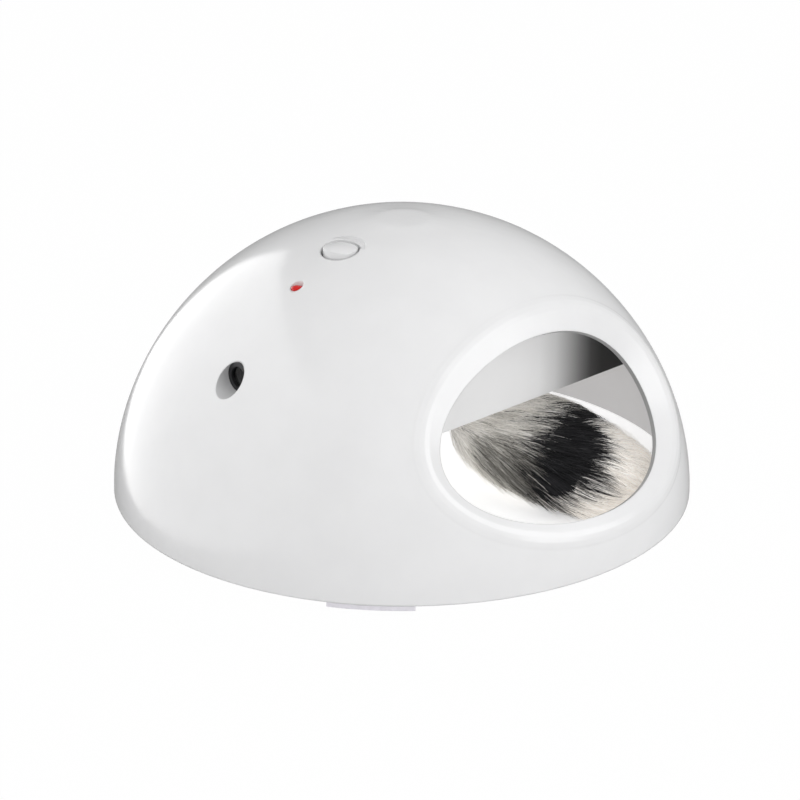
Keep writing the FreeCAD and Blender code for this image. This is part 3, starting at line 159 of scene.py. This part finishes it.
def plastic(name, colour, low, high, grain=900.0, depth=0.00001, edge=0.0004, glow=0.0):
    """Moulded plastic: faint mottling, uneven gloss, fine grain and softened edges. The glow
    has no source in the real object."""
    shader = Shader(name)
    tone = shader.noise(60.0, 4.0)
    dim = tuple(c * 0.975 for c in colour)
    shader.link(shader.ramp(tone, (0.3, dim), (0.7, colour)), shader.surface.inputs["Base Color"])
    gloss = shader.noise(140.0, 5.0)
    shader.link(shader.span(gloss, low, high), shader.surface.inputs["Roughness"])
    normal = shader.soft_edges(edge)
    normal = shader.bump(shader.noise(grain, 2.0), depth, 0.4, normal)
    shader.link(normal, shader.surface.inputs["Normal"])
    shader.set(IOR=1.49, Emission_Color=colour, Emission_Strength=glow)
    return shader.material


def metal(name, colour, low, high, stretch=(1.0, 1.0, 12.0), scale=600.0):
    """Bare metal with fine turned or drawn lines."""
    shader = Shader(name)
    lines = shader.noise(scale, 4.0, stretch)
    dim = tuple(c * 0.82 for c in colour)
    shader.link(shader.ramp(lines, (0.25, dim), (0.75, colour)), shader.surface.inputs["Base Color"])
    shader.link(shader.span(lines, low, high), shader.surface.inputs["Roughness"])
    normal = shader.bump(lines, 0.00002, 0.3, shader.soft_edges(0.0002))
    shader.link(normal, shader.surface.inputs["Normal"])
    shader.set(Metallic=1.0)
    return shader.material


def rubber(name, colour):
    shader = Shader(name)
    dust = shader.noise(300.0, 6.0)
    pale = tuple(min(1.0, c * 1.08) for c in colour)
    shader.link(shader.ramp(dust, (0.35, colour), (0.75, pale)), shader.surface.inputs["Base Color"])
    shader.link(shader.span(dust, 0.55, 0.8), shader.surface.inputs["Roughness"])
    normal = shader.bump(shader.noise(2500.0, 3.0), 0.00005, 0.5, shader.soft_edges(0.0003))
    shader.link(normal, shader.surface.inputs["Normal"])
    return shader.material


def clear(name, tint):
    shader = Shader(name)
    smear = shader.noise(500.0, 4.0)
    shader.link(shader.span(smear, 0.02, 0.08), shader.surface.inputs["Roughness"])
    shader.set(Base_Color=tint, IOR=1.5, Transmission_Weight=1.0, Specular_IOR_Level=0.2)
    return shader.material


def board_green(name):
    """Solder mask over copper tracks, with rows of pads."""
    shader = Shader(name)
    mapping = shader.add("ShaderNodeMapping")
    mapping.inputs["Scale"].default_value = (390.0, 390.0, 1.0)
    shader.link(shader.place, mapping.inputs["Vector"])
    tracks = shader.add("ShaderNodeTexBrick")
    tracks.inputs["Color1"].default_value = (0.02, 0.16, 0.07, 1)
    tracks.inputs["Color2"].default_value = (0.03, 0.2, 0.09, 1)
    tracks.inputs["Mortar"].default_value = (0.05, 0.27, 0.12, 1)
    tracks.inputs["Mortar Size"].default_value = 0.06
    shader.link(mapping.outputs[0], tracks.inputs["Vector"])
    shader.link(tracks.outputs["Color"], shader.surface.inputs["Base Color"])
    shader.link(shader.bump(tracks.outputs["Fac"], 0.00004, 0.6, shader.soft_edges(0.0002)),
                shader.surface.inputs["Normal"])
    shader.link(shader.span(shader.noise(700.0), 0.25, 0.42), shader.surface.inputs["Roughness"])
    return shader.material


def cell_wrap(name):
    """Plain shrink sleeve."""
    shader = Shader(name)
    tone = shader.noise(250.0, 4.0)
    shader.link(shader.ramp(tone, (0.3, (0.05, 0.055, 0.065)), (0.7, (0.075, 0.08, 0.09))),
                shader.surface.inputs["Base Color"])
    shader.link(shader.span(tone, 0.2, 0.38), shader.surface.inputs["Roughness"])
    shader.link(shader.bump(shader.noise(900.0), 0.00003, 0.4, shader.soft_edges(0.0008)),
                shader.surface.inputs["Normal"])
    shader.set(Metallic=0.35)
    return shader.material


def fur_hair(name):
    """Hair coloured by its band, paler or darker by chance, darkened towards the root as painted
    shade, and glowing in its own colour as painted light.
    """
    shader = Shader(name)
    tone = shader.attribute("tone")
    chance = shader.attribute("chance")
    along = shader.attribute("along")
    fleck = shader.noise(900.0, 4.0)
    shade = shader.product(shader.span(chance, 0.7, 1.1), shader.span(fleck, 0.85, 1.15))
    # Painted shade: the hair is darker towards its root, where the coat shades itself.
    depth = shader.ramp(along, (0.0, 0.55), (0.3, 0.9), (0.8, 1.0), (1.0, 1.0))
    colour = shader.product(shader.product(tone, shade), depth)
    shader.link(colour, shader.surface.inputs["Base Color"])
    shader.link(shader.span(chance, 0.42, 0.62), shader.surface.inputs["Roughness"])
    # Painted light: the hair glows with its own colour.
    shader.link(colour, shader.surface.inputs["Emission Color"])
    shader.set(Specular_IOR_Level=0.12, Emission_Strength=FUR_GLOW)
    return shader.material


MATERIALS = {
    "white_shell": plastic("shell_gloss", (0.80, 0.80, 0.805), 0.13, 0.2, edge=0.0012),
    "white_inner": plastic("inner_satin", (0.80, 0.80, 0.80), 0.4, 0.52, grain=1600.0,
                           depth=0.00003),
    "foot_pad": rubber("foot_pad", (0.84, 0.82, 0.87)),
    "gear_plastic": plastic("acetal", (0.78, 0.77, 0.70), 0.3, 0.42, edge=0.0001),
    "steel": metal("steel", (0.62, 0.62, 0.63), 0.22, 0.4),
    "bronze": metal("bronze", (0.60, 0.42, 0.20), 0.32, 0.5, (1.0, 1.0, 1.0)),
    "plating": metal("nickel", (0.72, 0.70, 0.66), 0.15, 0.28),
    "black_plastic": plastic("black_moulding", (0.016, 0.016, 0.018), 0.3, 0.45, edge=0.0003),
    "copper_core": metal("core_stack", (0.25, 0.16, 0.1), 0.45, 0.6, (1.0, 1.0, 30.0)),
    "board": board_green("solder_mask"),
    "clear": clear("clear_lens", (0.45, 0.45, 0.47)),
    "red_lens": plastic("red_lens", (0.62, 0.008, 0.008), 0.08, 0.16, edge=0.0002),
    "cell_sleeve": cell_wrap("cell_sleeve"),
    "fur": fur_hair("fur_hair"),
}

slots = {entry["node"]: entry["material_slot"] for entry in frame["record"]["subparts"]}
for name, node in nodes.items():
    node.data.materials.clear()
    node.data.materials.append(MATERIALS[slots[name]])


def shaded_wall(name, along, stops):
    """Satin plastic painted darker along X, in place of a shadow that the lamps don't cast, and
    glowing with its painted tone as painted light.
    """
    shader = Shader(name)
    split = shader.add("ShaderNodeSeparateXYZ")
    shader.link(shader.place, split.inputs[0])
    level = shader.add("ShaderNodeMapRange")
    level.inputs["From Min"].default_value, level.inputs["From Max"].default_value = along
    shader.link(split.outputs["X"], level.inputs["Value"])
    tone = shader.product(shader.ramp(level.outputs[0], *stops),
                          shader.span(shader.noise(60.0), 0.97, 1.0))
    shader.link(tone, shader.surface.inputs["Base Color"])
    # Painted light: the wall glows with its painted shade.
    shader.link(tone, shader.surface.inputs["Emission Color"])
    shader.link(shader.span(shader.noise(140.0), 0.35, 0.45), shader.surface.inputs["Roughness"])
    shader.link(shader.bump(shader.noise(1600.0), 0.00003, 0.4, shader.soft_edges(0.0004)),
                shader.surface.inputs["Normal"])
    shader.set(Emission_Strength=WALL_GLOW)
    return shader.material


OPENING_TILT = math.radians(30.5)
OPENING_UP = Vector((0, math.sin(OPENING_TILT), math.cos(OPENING_TILT)))
OPENING_SHIFT, RIM = 2.0 * MM, 3.0 * MM
INNER_WIDTH, INNER_HEIGHT = 61.5 * MM, 38.5 * MM


def line_lower_room():
    """The satin inside of the tail's room: the shell's wall below the deck, the floor and the
    front partition. The shell's wall below the deck, the opening's tunnel wall and the laser bore's
    wall are darker copies of the white, as painted shade; the floor glows as painted light, and the
    partition carries painted shade."""
    shell, floor, deck = nodes["dome_shell"], nodes["base_plate"], nodes["inner_deck"]
    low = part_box("inner_deck")[0]
    # Painted shade: the shell's inside below the deck is a darker copy of its white.
    shell.data.materials.append(plastic("shell_inside_painted_shade", (0.69, 0.68, 0.68), 0.35, 0.45))
    # Painted shade: the opening's tunnel wall is painted dark grey in place of its shadow.
    shell.data.materials.append(plastic("opening_wall", (0.36, 0.36, 0.36), 0.35, 0.45))
    # Painted shade: the laser bore's wall is painted darker in place of the shade inside the bore.
    shell.data.materials.append(plastic("bore_wall", (0.60, 0.60, 0.605), 0.35, 0.45))
    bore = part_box("laser_sleeve")
    bore_z, bore_radius = (bore[0].z + bore[1].z) / 2, (bore[1].z - bore[0].z) / 2 + 0.4 * MM
    for face in shell.data.polygons:
        out = Vector((face.center.x, face.center.y, 0))
        below = min(shell.data.vertices[corner].co.z for corner in face.vertices) < low.z
        if below and face.normal.dot(out) < -0.75 * out.length:
            face.material_index = 1
        up = face.center.dot(OPENING_UP) - RIM * math.cos(OPENING_TILT) + OPENING_SHIFT
        beside = Vector((face.center.x / INNER_WIDTH ** 2, up / INNER_HEIGHT ** 2))
        reach = math.hypot(face.center.x / INNER_WIDTH, up / INNER_HEIGHT)
        facing = face.normal.x * beside.x + face.normal.dot(OPENING_UP) * beside.y
        if abs(reach - 1) < 0.04 and face.center.y < 0 and facing < -0.7 * beside.length:
            face.material_index = 2
        beside = Vector((0, face.center.y, face.center.z - bore_z))
        if face.center.x < bore[1].x and beside.length < bore_radius and face.normal.dot(beside) < 0:
            face.material_index = 3
    # Painted light: the room's floor glows, though it is no lamp.
    floor.data.materials[0] = plastic("room_floor_painted_glow", (0.9, 0.9, 0.9), 0.4, 0.5, glow=FLOOR_GLOW)
    # Painted shade: the partition's front darkens towards its right end.
    deck.data.materials.append(shaded_wall("partition", (-0.01, 0.09), PARTITION_PAINTED_SHADE))
    for face in deck.data.polygons:
        if face.normal.y < -0.9 and face.center.y < low.y + 1 * MM:
            face.material_index = 1


line_lower_room()


# ------------------------------------------------------------------ fur tail
ARM_REACH = 52.0 * MM
TAIL_BEARING = math.radians(13.0)
TAIL_BACK, TAIL_END = -4.5 * MM, 104.0 * MM
TAIL_MIDDLE = (TAIL_BACK + TAIL_END) / 2
TAIL_HALF = np.array([30.0, (TAIL_END - TAIL_BACK) / MM / 2, 14.5]) * MM
TAIL_FULLNESS = 2.7
FUR_REACH = 111.0 * MM
FUR_FLOOR = 4.6 * MM
HAIRS, HAIR_POINTS = 42000, 7
TUFTS, PATCHES, TUFT_PULL = 2600, 160, 0.7
HAIR_SHORTEST, HAIR_LONGEST = 17, 27
GREY = ((0.90, 0.88, 0.85), (0.72, 0.70, 0.66), (0.24, 0.23, 0.21))
BLACK = ((0.010, 0.010, 0.011), (0.018, 0.018, 0.020), (0.042, 0.042, 0.044))
CREAM = ((0.94, 0.91, 0.87), (0.96, 0.94, 0.91), (0.90, 0.86, 0.81))
BLACK_FROM, BLACK_TO = 54.0 * MM, 93.0 * MM
BAND_SLANT = 0.72
BAND_BULGE, BULGE_MIDDLE, BULGE_HALF = 14.0 * MM, 5.0 * MM, 19.0 * MM
TAPER, TAPER_FROM = 0.24, 38.0 * MM

chance = np.random.default_rng(7)
tail_low, tail_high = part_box("tail_core")
tail_across = np.array([math.cos(TAIL_BEARING), -math.sin(TAIL_BEARING), 0.0])
tail_along = np.array([-math.sin(TAIL_BEARING), -math.cos(TAIL_BEARING), 0.0])
tail_axes = np.array([tail_across, tail_along, [0.0, 0.0, 1.0]])
tail_start = np.array([ARM_REACH, 0.0, (tail_low.z + tail_high.z) / 2])
tail_middle = tail_start + tail_along * TAIL_MIDDLE


def unit(vectors):
    return vectors / np.maximum(np.linalg.norm(vectors, axis=-1, keepdims=True), 1e-9)


def narrowing(x, y):
    """Width of the form's left side towards its far end, as a share of the full width."""
    far = np.clip((y - TAPER_FROM + TAIL_MIDDLE) / (TAIL_END - TAPER_FROM), 0, 1)
    return np.where(x < 0, 1 - TAPER * far, 1.0)


def fullness(points):
    """How far out the points lie in the tail's closed form: 1 on its surface. Points are
    (across, along, up) from the form's middle."""
    x, y, z = (points / TAIL_HALF).T
    x = x / narrowing(x, points[:, 1])
    return (x * x + z * z) ** (TAIL_FULLNESS / 2) + np.abs(y) ** TAIL_FULLNESS


def outward(points):
    step = 0.0001
    here = fullness(points)
    rise = [(fullness(points + step * axis) - here) / step for axis in np.eye(3)]
    return unit(np.array(rise).T)


def form_point(turn, side):
    """Point of the closed form: turn runs from its far end to its root, side goes round it."""
    power = 2 / TAIL_FULLNESS
    width = np.sin(turn) ** power
    along = np.sign(np.cos(turn)) * np.abs(np.cos(turn)) ** power
    points = np.array([width * np.cos(side), along, width * np.sin(side)]).T * TAIL_HALF
    points[:, 0] *= narrowing(points[:, 0], points[:, 1])
    return points


def hair_roots(count):
    """Roots spread evenly over the form, thinner underneath, none in the arm's slot."""
    tries = count * 8
    turn, side = chance.uniform(0.02, math.pi - 0.02, tries), chance.uniform(0, 2 * math.pi, tries)
    here, small = form_point(turn, side), 0.001
    area = np.linalg.norm(np.cross(form_point(turn + small, side) - here,
                                   form_point(turn, side + small) - here), axis=1)
    share = area / np.quantile(area, 0.98) * np.where(here[:, 2] < 0, 0.45, 1.0)
    along = here[:, 1] + TAIL_MIDDLE
    slot = (np.abs(here[:, 0]) < 6.5 * MM) & (along < 7 * MM) & (here[:, 2] > 0)
    kept = here[(chance.random(tries) < share) & ~slot]
    return kept[:count]


def hair_flow(points):
    """Way that the hair lies: along the tail, fanned out to its right side."""
    across = points[:, 0] / TAIL_HALF[0]
    fan = np.radians(np.interp(across, (-1.0, -0.5, 0.0, 0.5, 1.0), (8.0, 32.0, 56.0, 80.0, 92.0)))
    fan = fan + np.radians(chance.normal(0, 5, len(points)))
    return np.array([np.sin(fan), np.cos(fan), np.zeros(len(points))]).T


def grow(roots, lengths):
    """Each hair leaves the skin, bends over with the flow and hugs the form to its point."""
    flow = hair_flow(roots)
    lift = chance.uniform(0.25, 0.6, (len(roots), 1)) + 0.3 * (roots[:, :1] > 0.3 * TAIL_HALF[0])
    stray = chance.normal(0, 0.10, (len(roots), 3))
    place = roots * np.array([0.88, 0.96, 0.86])
    path, step = [place], lengths[:, None] / (HAIR_POINTS - 1)
    for part in range(1, HAIR_POINTS):
        far = part / (HAIR_POINTS - 1)
        normal = outward(place)
        lying = unit(flow - (flow * normal).sum(1, keepdims=True) * normal)
        droop = np.array([0.0, 0.0, -0.35 * far])
        heading = unit(lying + normal * lift * (0.9 - 1.1 * far) + stray * far + droop)
        place = place + heading * step
        sunk = np.clip(1.0 - fullness(place), 0, 0.5)[:, None] * far
        place = place + outward(place) * sunk * 0.004
        path.append(place)
    return np.array(path).transpose(1, 0, 2)


def nearest_roots(paths, guides):
    """For each hair, which of the first few hairs has its root nearest."""
    tree = KDTree(guides)
    for index in range(guides):
        tree.insert(paths[index, 0], index)
    tree.balance()
    return np.array([tree.find(root)[1] for root in paths[:, 0]])


def clumped(paths, tufts):
    """Hairs drawn towards their tuft's own hair, more so at their points."""
    pull = TUFT_PULL * np.linspace(0, 1, HAIR_POINTS)[None, :, None] ** 1.6
    pull = pull * chance.uniform(0.5, 1.0, (len(paths), 1, 1))
    return paths * (1 - pull) + paths[tufts] * pull


def band_tones(paths, tufts, patches):
    """Grey hair from the root, black hair in a slanting band, cream hair at the end. The grey
    is paler in some patches and darker low on the left side."""
    count = len(paths)
    along = paths[..., 1] + TAIL_MIDDLE
    band = along + BAND_SLANT * paths[..., 0]
    middle, tip = band[:, HAIR_POINTS // 2], band[:, -1]
    spread = chance.normal(0, 1.5 * MM, count) + chance.normal(0, 3.5 * MM, count)[tufts]
    darkness = np.interp(middle + spread, (BLACK_FROM - 18 * MM, BLACK_FROM - 3 * MM,
                                           BLACK_FROM + 3 * MM), (0.02, 0.4, 1.0))
    black = chance.random(count) < darkness
    off = np.clip(np.abs(paths[:, -1, 0] - BULGE_MIDDLE) / BULGE_HALF, 0, 1.4)
    bulge = BAND_BULGE * (1 - off ** 2) - 0.8 * np.maximum(-paths[:, -1, 2], 0)
    cream = tip + 0.4 * spread > BLACK_TO + bulge
    flank = np.clip((-paths[:, 0, 0] - 20 * MM) / (8 * MM), 0, 1)
    flank = flank * np.interp(along[:, 0], (25 * MM, 45 * MM), (0.0, 1.0))
    dark = 0.9 * chance.random(count)[patches] + 0.6 * chance.random(count)[tufts]
    dark = dark + 0.5 * chance.random(count) + 1.1 * flank
    dark = dark - np.interp(along[:, 0], (4 * MM, 24 * MM), (0.6, 0.0))
    pick = np.digitize(dark, (0.8, 1.35))
    pick[black | cream] = chance.integers(0, 3, count)[black | cream]
    tones = np.array(GREY)[pick]
    tones[black] = np.array(BLACK)[pick][black]
    tones[cream] = np.array(CREAM)[pick][cream]
    return tones


def kept_in_room(paths):
    """Hairs held inside the dome's wall and over the floor."""
    shown = paths @ tail_axes + tail_middle
    reach = np.linalg.norm(shown[..., :2], axis=-1, keepdims=True)
    shown[..., :2] *= np.minimum(1.0, FUR_REACH / reach)
    shown[..., 2] = np.maximum(shown[..., 2], FUR_FLOOR)
    return shown


def hair_mesh(name, paths, tones):
    """Flat tapered ribbons, one to each hair, with their colour as attributes."""
    count = len(paths)
    run = np.gradient(paths, axis=1)
    up = unit(chance.normal(0, 0.45, (count, 1, 3)) + np.array([0.0, 0.0, 1.0]))
    side = unit(np.cross(run, np.broadcast_to(up, run.shape)))
    far = np.linspace(0, 1, HAIR_POINTS)[None, :, None]
    width = chance.uniform(0.08, 0.16, (count, 1, 1)) * MM * (1 - 0.85 * far ** 2)
    corners = np.stack([paths - side * width, paths + side * width], axis=2).reshape(-1, 3)
    start = np.arange(count)[:, None] * HAIR_POINTS * 2 + np.arange(HAIR_POINTS - 1)[None, :] * 2
    faces = np.stack([start, start + 1, start + 3, start + 2], axis=-1).reshape(-1, 4)
    mesh = bpy.data.meshes.new(name)
    mesh.from_pydata(corners, [], faces)
    each = HAIR_POINTS * 2
    alpha = np.ones((count * each, 1))
    values = {"tone": np.repeat(tones, each, axis=0),
              "chance": np.repeat(chance.random((count, 1)), each, axis=0).repeat(3, axis=1),
              "along": np.tile(np.repeat(far[0], 2, axis=0), (count, 3))}
    for key, value in values.items():
        layer = mesh.attributes.new(key, "FLOAT_COLOR", "POINT")
        layer.data.foreach_set("color", np.hstack([value, alpha]).astype(np.float32).ravel())
    mesh.polygons.foreach_set("use_smooth", np.ones(len(faces), bool))
    return mesh


def fur_skin():
    """The tail's solid drawn in under its hair."""
    skin = nodes["fur_tail"].data.copy()
    tones = np.zeros((len(skin.vertices), 4), np.float32)
    for vertex in skin.vertices:
        point = tail_axes @ (np.array(vertex.co) - tail_middle)
        band = point[1] + TAIL_MIDDLE + BAND_SLANT * point[0]
        inked = BLACK_FROM < band < BLACK_TO - 10 * MM
        tones[vertex.index, :3] = BLACK[1] if inked else CREAM[2] if band > BLACK_FROM else GREY[2]
        if fullness(point[None])[0] > 0.97:
            vertex.co = Vector(point * (0.86, 0.95, 0.84) @ tail_axes + tail_middle)
    tones[:, 3] = 1.0
    for key, value in {"tone": tones, "chance": np.full_like(tones, 0.4),
                       "along": np.full_like(tones, 0.3)}.items():
        skin.attributes.new(key, "FLOAT_COLOR", "POINT").data.foreach_set("color", value.ravel())
    return skin


def build_fur():
    roots = hair_roots(HAIRS)
    lengths = chance.uniform(HAIR_SHORTEST, HAIR_LONGEST, len(roots)) * MM
    paths = grow(roots, lengths)
    tufts, patches = nearest_roots(paths, TUFTS), nearest_roots(paths, PATCHES)
    paths = clumped(paths, tufts)
    hair = hair_mesh("fur_hair", kept_in_room(paths), band_tones(paths, tufts, patches))
    for name, mesh in (("fur_strands", hair), ("fur_skin", fur_skin())):
        piece = bpy.data.objects.new(name, mesh)
        bpy.context.scene.collection.objects.link(piece)
        mesh.materials.clear()
        mesh.materials.append(MATERIALS["fur"])
        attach(piece, "tail")
        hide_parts("fur_tail")


build_fur()


# ------------------------------------------------------------------ stage, camera, light
def stage_floor():
    mesh = bpy.data.meshes.new("floor")
    half = 6.0
    corners = [(-half, -half, 0), (half, -half, 0), (half, half, 0), (-half, half, 0)]
    mesh.from_pydata(corners, [], [(0, 1, 2, 3)])
    floor = bpy.data.objects.new("floor", mesh)
    bpy.context.scene.collection.objects.link(floor)
    shader = Shader("floor_white")
    tone = shader.noise(8.0, 3.0)
    shader.link(shader.ramp(tone, (0.3, 0.8), (0.7, 0.82)), shader.surface.inputs["Base Color"])
    shader.set(Roughness=0.9, Specular_IOR_Level=0.1)
    glow = shader.add("ShaderNodeEmission")
    glow.inputs["Strength"].default_value = 1.0
    mix = shader.add("ShaderNodeMixShader")
    path = shader.add("ShaderNodeLightPath")
    share = shader.add("ShaderNodeMath", operation="MULTIPLY")
    share.inputs[1].default_value = 0.985
    shader.link(path.outputs["Is Camera Ray"], share.inputs[0])
    shader.link(share.outputs[0], mix.inputs[0])
    shader.link(shader.surface.outputs[0], mix.inputs[1])
    shader.link(glow.outputs[0], mix.inputs[2])
    shader.link(mix.outputs[0], shader.output.inputs["Surface"])
    mesh.materials.append(shader.material)
    floor.visible_glossy = False


def set_world():
    """Plain white to the camera; as light, dimmer near the horizon than overhead, and dimmer
    again in reflections."""
    world = bpy.data.worlds.new("studio")
    bpy.context.scene.world = world
    world.use_nodes = True
    tree = world.node_tree
    tree.nodes.clear()
    height = tree.nodes.new("ShaderNodeSeparateXYZ")
    tree.links.new(tree.nodes.new("ShaderNodeTexCoord").outputs["Generated"], height.inputs[0])
    level = tree.nodes.new("ShaderNodeMapRange")
    for socket, value in (("From Min", 0.0), ("From Max", 0.8),
                          ("To Min", HORIZON_LIGHT), ("To Max", SKY_LIGHT)):
        level.inputs[socket].default_value = value
    tree.links.new(height.outputs["Z"], level.inputs["Value"])
    path = tree.nodes.new("ShaderNodeLightPath")
    dimmed = tree.nodes.new("ShaderNodeMapRange")
    dimmed.inputs["To Min"].default_value = 1.0
    dimmed.inputs["To Max"].default_value = REFLECTED_SHARE
    tree.links.new(path.outputs["Is Glossy Ray"], dimmed.inputs["Value"])
    strength = tree.nodes.new("ShaderNodeMath")
    strength.operation = "MULTIPLY"
    tree.links.new(level.outputs[0], strength.inputs[0])
    tree.links.new(dimmed.outputs[0], strength.inputs[1])
    light = tree.nodes.new("ShaderNodeBackground")
    tree.links.new(strength.outputs[0], light.inputs["Strength"])
    seen = tree.nodes.new("ShaderNodeBackground")
    for shade in (light, seen):
        shade.inputs["Color"].default_value = (1, 1, 1, 1)
    mix = tree.nodes.new("ShaderNodeMixShader")
    tree.links.new(path.outputs["Is Camera Ray"], mix.inputs[0])
    tree.links.new(light.outputs[0], mix.inputs[1])
    tree.links.new(seen.outputs[0], mix.inputs[2])
    tree.links.new(mix.outputs[0], tree.nodes.new("ShaderNodeOutputWorld").inputs[0])


def area_light(name, place, target, width, height, power):
    """A soft lamp that leaves no reflection of its own."""
    data = bpy.data.lights.new(name, "AREA")
    data.shape = "RECTANGLE"
    data.size, data.size_y = width, height
    data.energy = power
    light = bpy.data.objects.new(name, data)
    light.location = place
    light.rotation_euler = (Vector(target) - Vector(place)).to_track_quat("-Z", "Y").to_euler()
    light.visible_glossy = False
    bpy.context.scene.collection.objects.link(light)


def softbox(name, corners, axis, span, levels):
    """A glowing screen seen only in reflections. Its light changes along one axis, over a
    span of places, from the first level to the second."""
    mesh = bpy.data.meshes.new(name)
    mesh.from_pydata(corners, [], [(0, 1, 2, 3)])
    screen = bpy.data.objects.new(name, mesh)
    bpy.context.scene.collection.objects.link(screen)
    shader = Shader(name)
    glow = shader.add("ShaderNodeEmission")
    split = shader.add("ShaderNodeSeparateXYZ")
    shader.link(shader.place, split.inputs[0])
    level = shader.add("ShaderNodeMapRange")
    for socket, value in zip(("From Min", "From Max", "To Min", "To Max"), (*span, *levels)):
        level.inputs[socket].default_value = value
    shader.link(split.outputs[axis], level.inputs["Value"])
    shader.link(level.outputs[0], glow.inputs["Strength"])
    shader.link(glow.outputs[0], shader.output.inputs["Surface"])
    mesh.materials.append(shader.material)
    screen.visible_camera = screen.visible_diffuse = screen.visible_shadow = False


def direction(azimuth, elevation, away):
    """Point on the floor plan at a distance, raised to an elevation, in degrees."""
    turn = math.radians(azimuth)
    return (away * math.cos(turn), away * math.sin(turn), away * math.tan(math.radians(elevation)))


def set_camera():
    place = Vector((-807.0, -827.1, 516.5)) * MM
    target = Vector((-0.66, 0.65, 40.0)) * MM
    forward = (target - place).normalized()
    right = forward.cross(Vector((0, 0, 1))).normalized()
    up = right.cross(forward)
    roll = math.radians(0.217)
    rolled_right = right * math.cos(roll) + up * math.sin(roll)
    rolled_up = up * math.cos(roll) - right * math.sin(roll)
    data = bpy.data.cameras.new("camera")
    data.sensor_width = 36.0
    data.lens = 130.39
    camera = bpy.data.objects.new("camera", data)
    turn = Matrix((rolled_right, rolled_up, -forward)).transposed().to_4x4()
    camera.matrix_world = Matrix.Translation(place) @ turn
    bpy.context.scene.collection.objects.link(camera)
    bpy.context.scene.camera = camera


stage_floor()
set_world()
LAMP_AWAY, LAMP_AIM = 1.6, (0, 0, 0.05)
for name, azimuth, elevation, width, height, power in (("right_box", -63, 18, 1.4, 1.2, 11.3),
                                                       ("front_box", -142, 25, 1.2, 1.0, 2.9),
                                                       ("left_box", 188, 15, 1.4, 1.0, 4.8)):
    area_light(name, direction(azimuth, elevation, LAMP_AWAY), LAMP_AIM, width, height, power)
area_light("top_box", (0, 0, 1.8), (0, 0, 0), 1.6, 1.6, 5.9)
softbox("left_window", (direction(189, -3, 1.2), direction(177, 48, 1.2),
                        direction(68.5, 25, 2.4), direction(66, -12, 2.4)),
        axis="Y", span=(-0.1, 0.87), levels=(0.7, 2.5))
softbox("ring_window", (direction(-84, 2, 1.6), direction(-84, 48, 1.6),
                        direction(-30, 48, 1.6), direction(-30, 2, 1.6)),
        axis="X", span=(0.8, 1.25), levels=(2.7, 0.3))
set_camera()

scene = bpy.context.scene
scene.view_settings.view_transform = "Standard"
